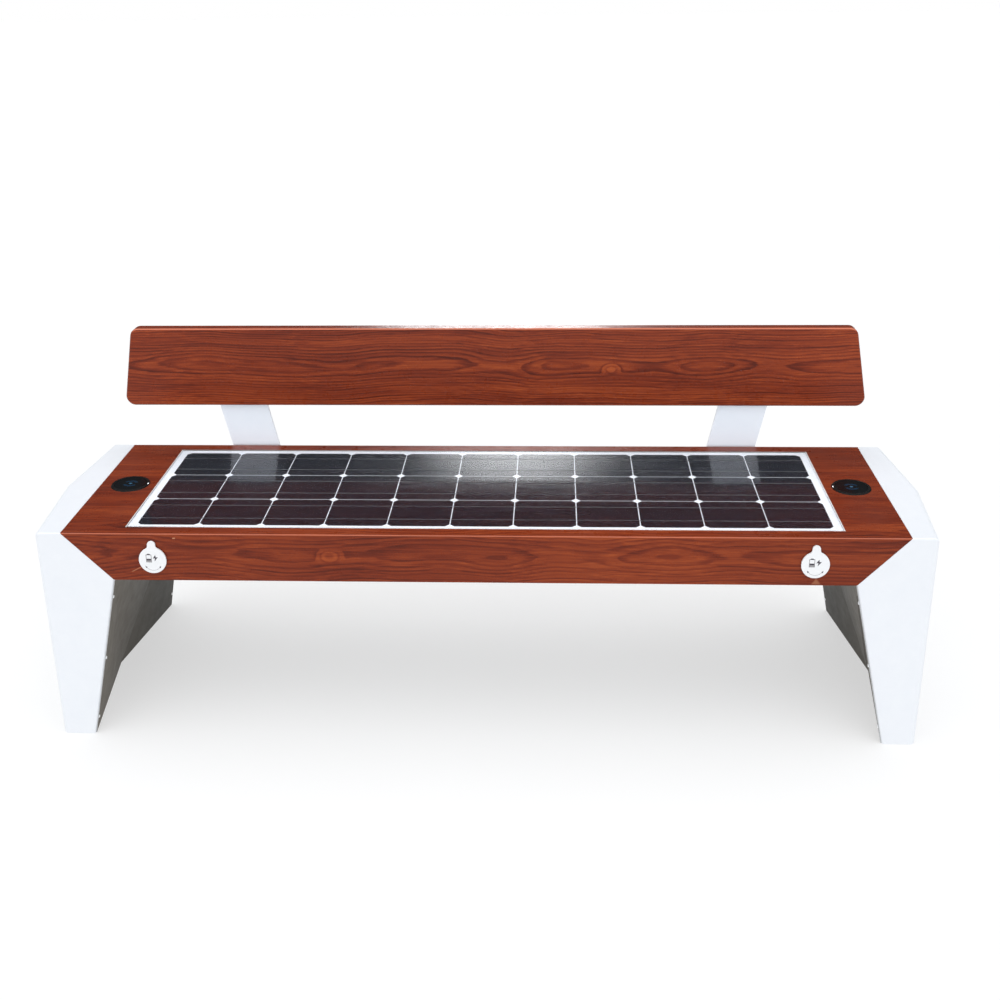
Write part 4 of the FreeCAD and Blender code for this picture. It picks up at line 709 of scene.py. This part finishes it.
tree, shader, place = new_finish("panel_glass")
skin = use_group(tree, coat_skin, {"Place": place, "Hills per metre": 500.0})
dust = use_group(tree, settled_dust, {"Place": place, "Amount": 0.05})["Mask"]
set_shader(
    tree, shader,
    Base_Color=mix_colours(tree, dust, glass_tint, glass_dust),
    Roughness=spread(tree, skin["Mottle"], 0.03, 0.055),
    IOR=coated_index,
    Transmission_Weight=1.0,
)
bump(tree, shader, skin["Height"], 0.00004)
clear = lay(tree, "ShaderNodeBsdfTransparent", None, {"Color": glass_tint}).outputs["BSDF"]
shadow = lay(tree, "ShaderNodeLightPath").outputs["Is Shadow Ray"]
both = mix_shaders(tree, shadow, shader.outputs["BSDF"], clear)
tree.links.new(both, tree.nodes["Material Output"].inputs["Surface"])
print("the glass has an index of", coated_index)

# %% [markdown]
# ## Dress the construction model
# Every solid already names the material slot it is made of, so the slot's name finds the finish.
# The pieces of the board and the pivots of the covers have a finish of their own.

# %% Give every solid its finish
finishes["wood_coat"] = finishes["seat_wood"]
own_finish = {
    "backrest_board": "board_wood", "backrest_rear_cover": "board_wood",
    "left_usb_pivot": "cover_paint", "right_usb_pivot": "cover_paint",
}
worn_by = {}
for piece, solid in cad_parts.items():
    for pocket in solid.material_slots:
        finish = own_finish.get(piece, pocket.material.name.split(".")[0])
        pocket.material = finishes[finish]
        worn_by.setdefault(finish, []).append(piece)
for finish, pieces in sorted(worn_by.items()):
    print(f"{finish:16} {len(pieces):2}  {', '.join(pieces[:4])}")

# %% [markdown]
# ## Small pieces that are only seen
# They are drawn in millimetres on a face, which is a matrix whose Z points out of the face.
# A flat sign is an outline with a hair of thickness.


# %% Helpers for pieces on a face
def mesh_piece(name, shape, face, finish, body):
    """Keeps a bmesh, drawn in mm on a face, as a piece of a body."""
    bmesh.ops.recalc_face_normals(shape, faces=shape.faces)
    mesh = bpy.data.meshes.new(name)
    shape.to_mesh(mesh)
    shape.free()
    mesh.transform(face @ Matrix.Scale(0.001, 4))
    mesh.materials.append(finishes[finish])
    piece = bpy.data.objects.new(name, mesh)
    bpy.context.scene.collection.objects.link(piece)
    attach(piece, body)


def wall_between(shape, low, high):
    """Faces between two rings of points."""
    for n in range(len(low)):
        after = (n + 1) % len(low)
        shape.faces.new((low[n], low[after], high[after], high[n]))


def flat_piece(name, outlines, thickness, face, finish, body):
    """Thin solids from outlines, which are lists of (across, up) in mm."""
    shape = bmesh.new()
    for outline in outlines:
        low = [shape.verts.new((x, y, 0)) for x, y in outline]
        high = [shape.verts.new((x, y, thickness)) for x, y in outline]
        shape.faces.new(high)
        shape.faces.new(low[::-1])
        wall_between(shape, low, high)
    mesh_piece(name, shape, face, finish, body)


def on_circle(centre, radius, degrees):
    """The point of a circle at an angle."""
    angle = math.radians(degrees)
    return centre[0] + radius * math.cos(angle), centre[1] + radius * math.sin(angle)


def band(centre, radius, start, end, width, steps=24):
    """The outline of a curved stroke, in mm and degrees."""
    angles = [start + (end - start) * n / steps for n in range(steps + 1)]
    outer = [on_circle(centre, radius + width / 2, angle) for angle in angles]
    inner = [on_circle(centre, radius - width / 2, angle) for angle in angles]
    return outer + inner[::-1]


# %% [markdown]
# The sign on each cover shows what is under it and how to open it: a battery that is partly full, a lightning
# bolt, and an arc with an arrowhead at each end, for turning the cover either way.


# %% Outlines of the signs
def oblong(left, right, foot, top):
    """The outline of a rectangle."""
    return [(left, foot), (right, foot), (right, top), (left, top)]


def battery_sign():
    """Outlines of the battery's wall, of its dark cap and upper charge, and of its paler lower charge."""
    wall, gap = 1.1, 0.4
    left, right, foot, top = -12.8, -1.5, -4.5, 12.2
    cap_left, cap_right, cap_height, cap_slant = -10.4, -3.9, 1.6, 0.8
    dark_foot, dark_top = -0.5, 3.3
    inner_left, inner_right = left + wall, right - wall
    walls = [
        oblong(left, inner_left, foot, top),
        oblong(inner_right, right, foot, top),
        oblong(inner_left, inner_right, foot, foot + wall),
    ]
    cap_top = top + cap_height
    cap = [(cap_left, top), (cap_right, top)]
    cap += [(cap_right - cap_slant, cap_top), (cap_left + cap_slant, cap_top)]
    dark = [
        oblong(inner_left, inner_right, top - wall, top),
        cap,
        oblong(inner_left, inner_right, dark_foot, dark_top),
    ]
    charge = [oblong(inner_left, inner_right, foot + wall + gap, dark_foot - gap)]
    return walls, dark, charge


def bolt_sign(x, y, size):
    """A lightning bolt that stands about x, y."""
    points = [(0.0, 1.0), (-0.78, -0.12), (-0.18, -0.05), (-0.36, -1.0), (0.72, 0.3), (0.10, 0.24)]
    return [(x + across * size, y + up * size) for across, up in points]


def arrow_sign(middle, angle, size):
    """An arrowhead about its middle, which points along the angle, in degrees."""
    turn = Matrix.Rotation(math.radians(angle), 2)
    points = [(1.0, 0.0), (-0.6, 0.62), (-0.6, -0.62)]
    return [tuple(Vector(middle) + size * (turn @ Vector(point))) for point in points]


walls, dark, charge = battery_sign()
bolt = bolt_sign(x=6.5, y=4.7, size=7.0)
arc_centre, arc_radius, arc_width = (0.3, -3.6), 17.8, 0.55
arc_start, arc_end = 220, 320
arrow_size, arrow_gap = 2.9, 3
arc = band(arc_centre, arc_radius, arc_start, arc_end, arc_width)
arrows = [
    arrow_sign(on_circle(arc_centre, arc_radius, angle), angle + quarter, arrow_size)
    for angle, quarter in ((arc_start - arrow_gap, -90), (arc_end + arrow_gap, 90))
]
print("a sign has", len(walls + dark + charge + [bolt, arc] + arrows), "outlines")

# %% [markdown]
# The cover hangs on the sloping front of the seat, so its face is a little tilted. The face's matrix comes
# from the slope of the seat's front. The signs ride on the cover's body, so they turn with it.

# %% Signs on the turning covers
outlet_x = {"left": -0.6545, "right": 0.6545}
outlet_y, outlet_z = -0.241966, 0.3955
cover_front = 5.1
sign_thickness = 0.1
slope_up = Vector((0, 0.09074, 0.99588)).normalized()
slope_out = Vector((0, -0.99588, 0.09074)).normalized()
sideways = slope_up.cross(slope_out).normalized()


def on_the_slope(side, lift):
    """A face on the seat's sloping front, at the USB outlet on that side, lift mm in front of it."""
    spot = Vector((outlet_x[side], outlet_y, outlet_z)) + slope_out * lift / 1000
    return Matrix.Translation(spot) @ Matrix((sideways, slope_up, slope_out)).transposed().to_4x4()


for side in outlet_x:
    face = on_the_slope(side, cover_front)
    for part, outlines, ink in (
        ("sign", dark + [bolt] + arrows, "cover_ink"),
        ("charge", walls + charge, "pale_ink"),
        ("arc", [arc], "pale_ink"),
    ):
        name = f"{side}_cover_{part}"
        flat_piece(name, outlines, sign_thickness, face, ink, f"{side}_usb_cover")
print("the signs stand", sign_thickness, "mm proud of the covers")

# %% [markdown]
# Each charging pad has a faint blue mark: two broad arcs about a small lighter spot, which shows where to lay
# a phone.

# %% Marks on the charging pads
charger_x = {"left": -0.773, "right": 0.773}
charger_y = 0.006
mark_thickness = 0.03
pad_arc_radius, pad_arc_width, pad_arc_turn = 12.6, 6.4, 130
spot_across, spot_up = 3.6, 3.4

arcs = [band((0, 0), pad_arc_radius, start, start + pad_arc_turn, pad_arc_width) for start in (22, 202)]
angles = [math.radians(degrees) for degrees in range(0, 360, 15)]
spot = [(spot_across * math.cos(angle), spot_up * math.sin(angle)) for angle in angles]
for side, x in charger_x.items():
    pad_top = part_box(f"{side}_charger_pad")[1][2]
    face = Matrix.Translation((x, charger_y, pad_top))
    flat_piece(f"{side}_pad_arcs", arcs, mark_thickness, face, "pad_ink", "bench")
    flat_piece(f"{side}_pad_spot", [spot], mark_thickness, face, "pad_light_ink", "bench")
print("the marks lie on the pads at", round(pad_top * 1000, 1), "mm")

# %% [markdown]
# Behind each cover two charging ports are let into a black block. A port is a folded tin shell with a plastic
# tongue in it, and four gilt springs lie on the tongue. The shell is one round-cornered outline that is drawn
# out along its depth, narrowed, and drawn back.

# %% Metal shells for the ports
port_wide, port_high, port_corner = 12.96, 5.76, 0.7
port_front, port_depth = 1.6, 11.6
shell_wall, lip_inset, lip_rise = 0.3, 0.1, 0.12


def rounded(across, up, corner, steps=4):
    """The outline of a rectangle with round corners, in mm."""
    outline = []
    for x, y, start in ((1, 1, 0), (-1, 1, 90), (-1, -1, 180), (1, -1, 270)):
        centre = (x * (across / 2 - corner), y * (up / 2 - corner))
        outline += [on_circle(centre, corner, start + 90 * n / steps) for n in range(steps + 1)]
    return outline


def port_shell(middle):
    """A thin ring about the port at that height, with a rolled lip at its front."""
    shape = bmesh.new()
    outside = [(0, -port_depth), (0, 0), (lip_inset, lip_rise)]
    inside = [(shell_wall, 0), (shell_wall, -port_depth)]
    rings = []
    for inset, ahead_of_front in outside + inside:
        outline = rounded(port_wide - 2 * inset, port_high - 2 * inset, port_corner)
        z = port_front + ahead_of_front
        rings.append([shape.verts.new((x, y + middle, z)) for x, y in outline])
    for outer, inner in zip(rings, rings[1:] + rings[:1]):
        wall_between(shape, outer, inner)
    return shape


print("a port's shell is", port_wide, "mm wide outside")

# %% [markdown]
# The tongue and its springs are blocks with bevelled edges, so a plug finds its way. The springs are let a
# little into the tongue's lower face.

# %% Tongues and springs for the ports
tongue_half, tongue_foot, tongue_top, tongue_edge = 5.5, 0.1, 1.9, 0.35
tongue_back, tongue_front = -10.15, -0.6
spring_spots = (-3.5, -1.0, 1.0, 3.5)
spring_half, spring_foot, spring_top, spring_edge = 0.5, -0.02, 0.16, 0.05
spring_back, spring_front = -9.6, -1.8


def bevelled_block(spans, edge):
    """A block over three spans in mm, with every edge bevelled."""
    shape = bmesh.new()
    bmesh.ops.create_cube(shape, size=1.0)
    for corner in shape.verts:
        corner.co = Vector(high if part > 0 else low for part, (low, high) in zip(corner.co, spans))
    bmesh.ops.bevel(shape, geom=shape.edges[:], offset=edge, segments=2, profile=0.5, affect="EDGES")
    return shape


def port_tongue(middle):
    """The plastic tongue of the port at that height."""
    across = (-tongue_half, tongue_half)
    up = (middle + tongue_foot, middle + tongue_top)
    return bevelled_block((across, up, (tongue_back, tongue_front)), tongue_edge)


def port_springs(middle):
    """The four springs of the port at that height, in one bmesh."""
    whole = bmesh.new()
    for x in spring_spots:
        across = (x - spring_half, x + spring_half)
        up = (middle + spring_foot, middle + spring_top)
        spring = bevelled_block((across, up, (spring_back, spring_front)), spring_edge)
        carrier = bpy.data.meshes.new("spring")
        spring.to_mesh(carrier)
        spring.free()
        whole.from_mesh(carrier)
        bpy.data.meshes.remove(carrier)
    return whole


port_level = {"upper": 5.5, "lower": -5.5}
for side in outlet_x:
    face = on_the_slope(side, 0)
    for level, middle in port_level.items():
        for part, draw, finish, slot in (
            ("shell", port_shell, "port_metal", "steel"),
            ("tongue", port_tongue, "tongue_plastic", "socket_plastic"),
            ("springs", port_springs, "gilt", "steel"),
        ):
            mesh_piece(f"{side}_{level}_port_{part}", draw(middle), face, finish, "bench")
print("each port has a shell, a tongue and", len(spring_spots), "springs")

# %% [markdown]
# Folded sheet never has a razor edge: it turns over a radius of about its own thickness, and that radius
# catches a line of light along the front of the seat. The construction model keeps its folds sharp.
# A bevel modifier rounds them here, without a change to the mesh.

# %% Rounded folds
fold_radius = {
    "seat_top": 0.0018, "backrest_board": 0.0008,
    "left_leg_shell": 0.0010, "right_leg_shell": 0.0010,
    "left_back_support": 0.0006, "right_back_support": 0.0006,
    "left_charger_pad": 0.0005, "right_charger_pad": 0.0005,
}
least_fold = math.radians(38)
for piece, radius in fold_radius.items():
    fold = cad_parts[piece].modifiers.new("fold", "BEVEL")
    fold.width = radius
    fold.segments = 2
    fold.limit_method = "ANGLE"
    fold.angle_limit = least_fold
    fold.use_clamp_overlap = True
print("folds are rounded on", len(fold_radius), "pieces")

# %% [markdown]
# ## Room and light
# The floor is a broad pale plane. It isn't part of the bench. It glows a little,
# as the sheet of a light table does. The shadow under the bench stays soft and pale, and the light that it
# sends up shows the undersides. From below the floor is clear, so a camera can look up through it.

# %% The floor
floor_reach = 30.0
floor_drop = 0.0006
floor_glow = 0.56

floor_mesh = bpy.data.meshes.new("studio_floor")
corners = [(x * floor_reach, y * floor_reach, -floor_drop) for x, y in ((-1, -1), (1, -1), (1, 1), (-1, 1))]
floor_mesh.from_pydata(corners, [], [(0, 1, 2, 3)])
studio_floor = bpy.data.objects.new("studio_floor", floor_mesh)
bpy.context.scene.collection.objects.link(studio_floor)

tree, shader, place = new_finish("floor_paint")
mottle = cloud(tree, place, 3.0, 3.0)
set_shader(
    tree, shader,
    Base_Color=mix_colours(tree, mottle, (0.40, 0.40, 0.40), (0.39, 0.39, 0.39)),
    Roughness=0.9,
    Specular_IOR_Level=0.0,
    Emission_Color=mix_colours(tree, mottle, (1.0, 1.0, 1.0), (0.99, 0.99, 0.99)),
    Emission_Strength=floor_glow,
)
from_below = lay(tree, "ShaderNodeNewGeometry").outputs["Backfacing"]
nothing = lay(tree, "ShaderNodeBsdfTransparent").outputs["BSDF"]
both = mix_shaders(tree, from_below, shader.outputs["BSDF"], nothing)
tree.links.new(both, tree.nodes["Material Output"].inputs["Surface"])
floor_mesh.materials.append(finishes["floor_paint"])
print("the floor is", 2 * floor_reach, "m wide")

# %% [markdown]
# The photograph was taken in open shade: light comes from all over the sky, most from above and from the
# front, and the rear is darker. Lamps at a finite distance would leave bright pools on the floor. A sky that
# changes only with direction lights the floor evenly, so it does nearly the whole work here.
# One brighter patch low at the rear gives the haze on the panel: an oval of sky, 1.8 degrees left of straight
# to the rear and 18.5 degrees up. The camera itself sees plain white, as bright as the floor, so no horizon
# shows.

# %% The sky
front_light, rear_light, top_light = 0.95, 0.10, 2.0
patch_bearing, patch_rise = -1.8, 18.5
patch_wide, patch_high = 4.6, 5.0
patch_light = 6.2

sky = bpy.data.worlds.new("sky")
bpy.context.scene.world = sky
sky.use_nodes = True
tree = sky.node_tree
tree.nodes.clear()


def degrees_of(radians):
    """An angle of the node tree in degrees."""
    return reckon(tree, "MULTIPLY", radians, 180 / math.pi)


def off_patch(angle, middle, reach):
    """The square of how many reaches an angle lies off the patch's middle."""
    away = reckon(tree, "MULTIPLY", reckon(tree, "SUBTRACT", angle, middle), 1 / reach)
    return reckon(tree, "POWER", away, 2.0)


apart = parts(tree, tree.nodes.new("ShaderNodeTexCoord").outputs["Generated"])
to_the_rear = rescale(tree, apart["Y"], -0.25, 0.55, soft=True)
horizon = rescale(tree, to_the_rear, 0.0, 1.0, front_light, rear_light)
overhead = rescale(tree, apart["Z"], 0.62, 0.88, soft=True)
low_part = reckon(tree, "MULTIPLY", horizon, reckon(tree, "SUBTRACT", 1.0, overhead))
brightness = reckon(tree, "ADD", low_part, reckon(tree, "MULTIPLY", overhead, top_light))
bearing = degrees_of(reckon(tree, "ARCTAN2", apart["X"], apart["Y"]))
rise = degrees_of(reckon(tree, "ARCSINE", apart["Z"]))
aside = off_patch(bearing, patch_bearing, patch_wide)
above = off_patch(rise, patch_rise, patch_high)
off_middle = reckon(tree, "SQRT", reckon(tree, "ADD", aside, above))
patch = rescale(tree, off_middle, 0.5, 1.5, patch_light, 0.0, soft=True)
brightness = reckon(tree, "ADD", brightness, patch)
print("the sky's patch is", patch_light, "times as bright as plain white")

# %% [markdown]
# The light gets a slight blue, as the sky has. A mix by kind of ray keeps it apart from what the camera sees.

# %% What lights the bench, and what the camera sees
sky_blue = (0.97, 0.985, 1.0)
plain_white = (1.0, 1.0, 1.0)

seen = lay(tree, "ShaderNodeLightPath").outputs["Is Camera Ray"]
light = lay(tree, "ShaderNodeBackground", None, {"Color": sky_blue, "Strength": brightness}).outputs[0]
plain = lay(tree, "ShaderNodeBackground", None, {"Color": plain_white, "Strength": 1.0}).outputs[0]
surface = tree.nodes.new("ShaderNodeOutputWorld").inputs["Surface"]
tree.links.new(mix_shaders(tree, seen, light, plain), surface)
bpy.context.scene.view_settings.view_transform = "Standard"
print("the sky has", len(tree.nodes), "nodes")

# %% [markdown]
# The backrest stands over the dark seat, so the floor's light doesn't reach it and it would look gloomy.
# A photographer would aim a flagged lamp at it. Here a soft lamp is linked to the backrest's pieces alone, so
# nothing else gets brighter. A second one stands low at the rear, where a camera's line mirrored in the
# board's top edge ends. It draws the white line along that edge.


# %% Two lamps for the backrest alone
def flagged_lamp(name, spot, aim, wide, high, watts, colour, pieces):
    """A soft lamp at a spot, aimed at another, that lights only the pieces it is linked to."""
    data = bpy.data.lights.new(name, "AREA")
    data.shape = "RECTANGLE"
    data.size = wide
    data.size_y = high
    data.energy = watts
    data.color = colour
    lamp = bpy.data.objects.new(name, data)
    lamp.location = Vector(spot)
    lamp.rotation_euler = (Vector(aim) - Vector(spot)).to_track_quat("-Z", "Y").to_euler()
    bpy.context.scene.collection.objects.link(lamp)
    lit = bpy.data.collections.new("lit_by_" + name)
    for piece in pieces:
        lit.objects.link(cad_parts[piece])
    lamp.light_linking.receiver_collection = lit


flagged_lamp(
    "backrest_lamp", spot=(0.0, -3.4, 1.35), aim=(0, 0.22, 0.58), wide=3.2, high=1.2, watts=53,
    colour=(0.90, 1.0, 1.12),
    pieces=("backrest_board", "backrest_rear_cover", "left_back_support", "right_back_support"),
)
flagged_lamp(
    "edge_lamp", spot=(-0.19, 4.27, 1.893), aim=(0, 0.25, 0.73), wide=1.2, high=0.5, watts=20,
    colour=(0.95, 0.98, 1.0), pieces=("backrest_board",),
)
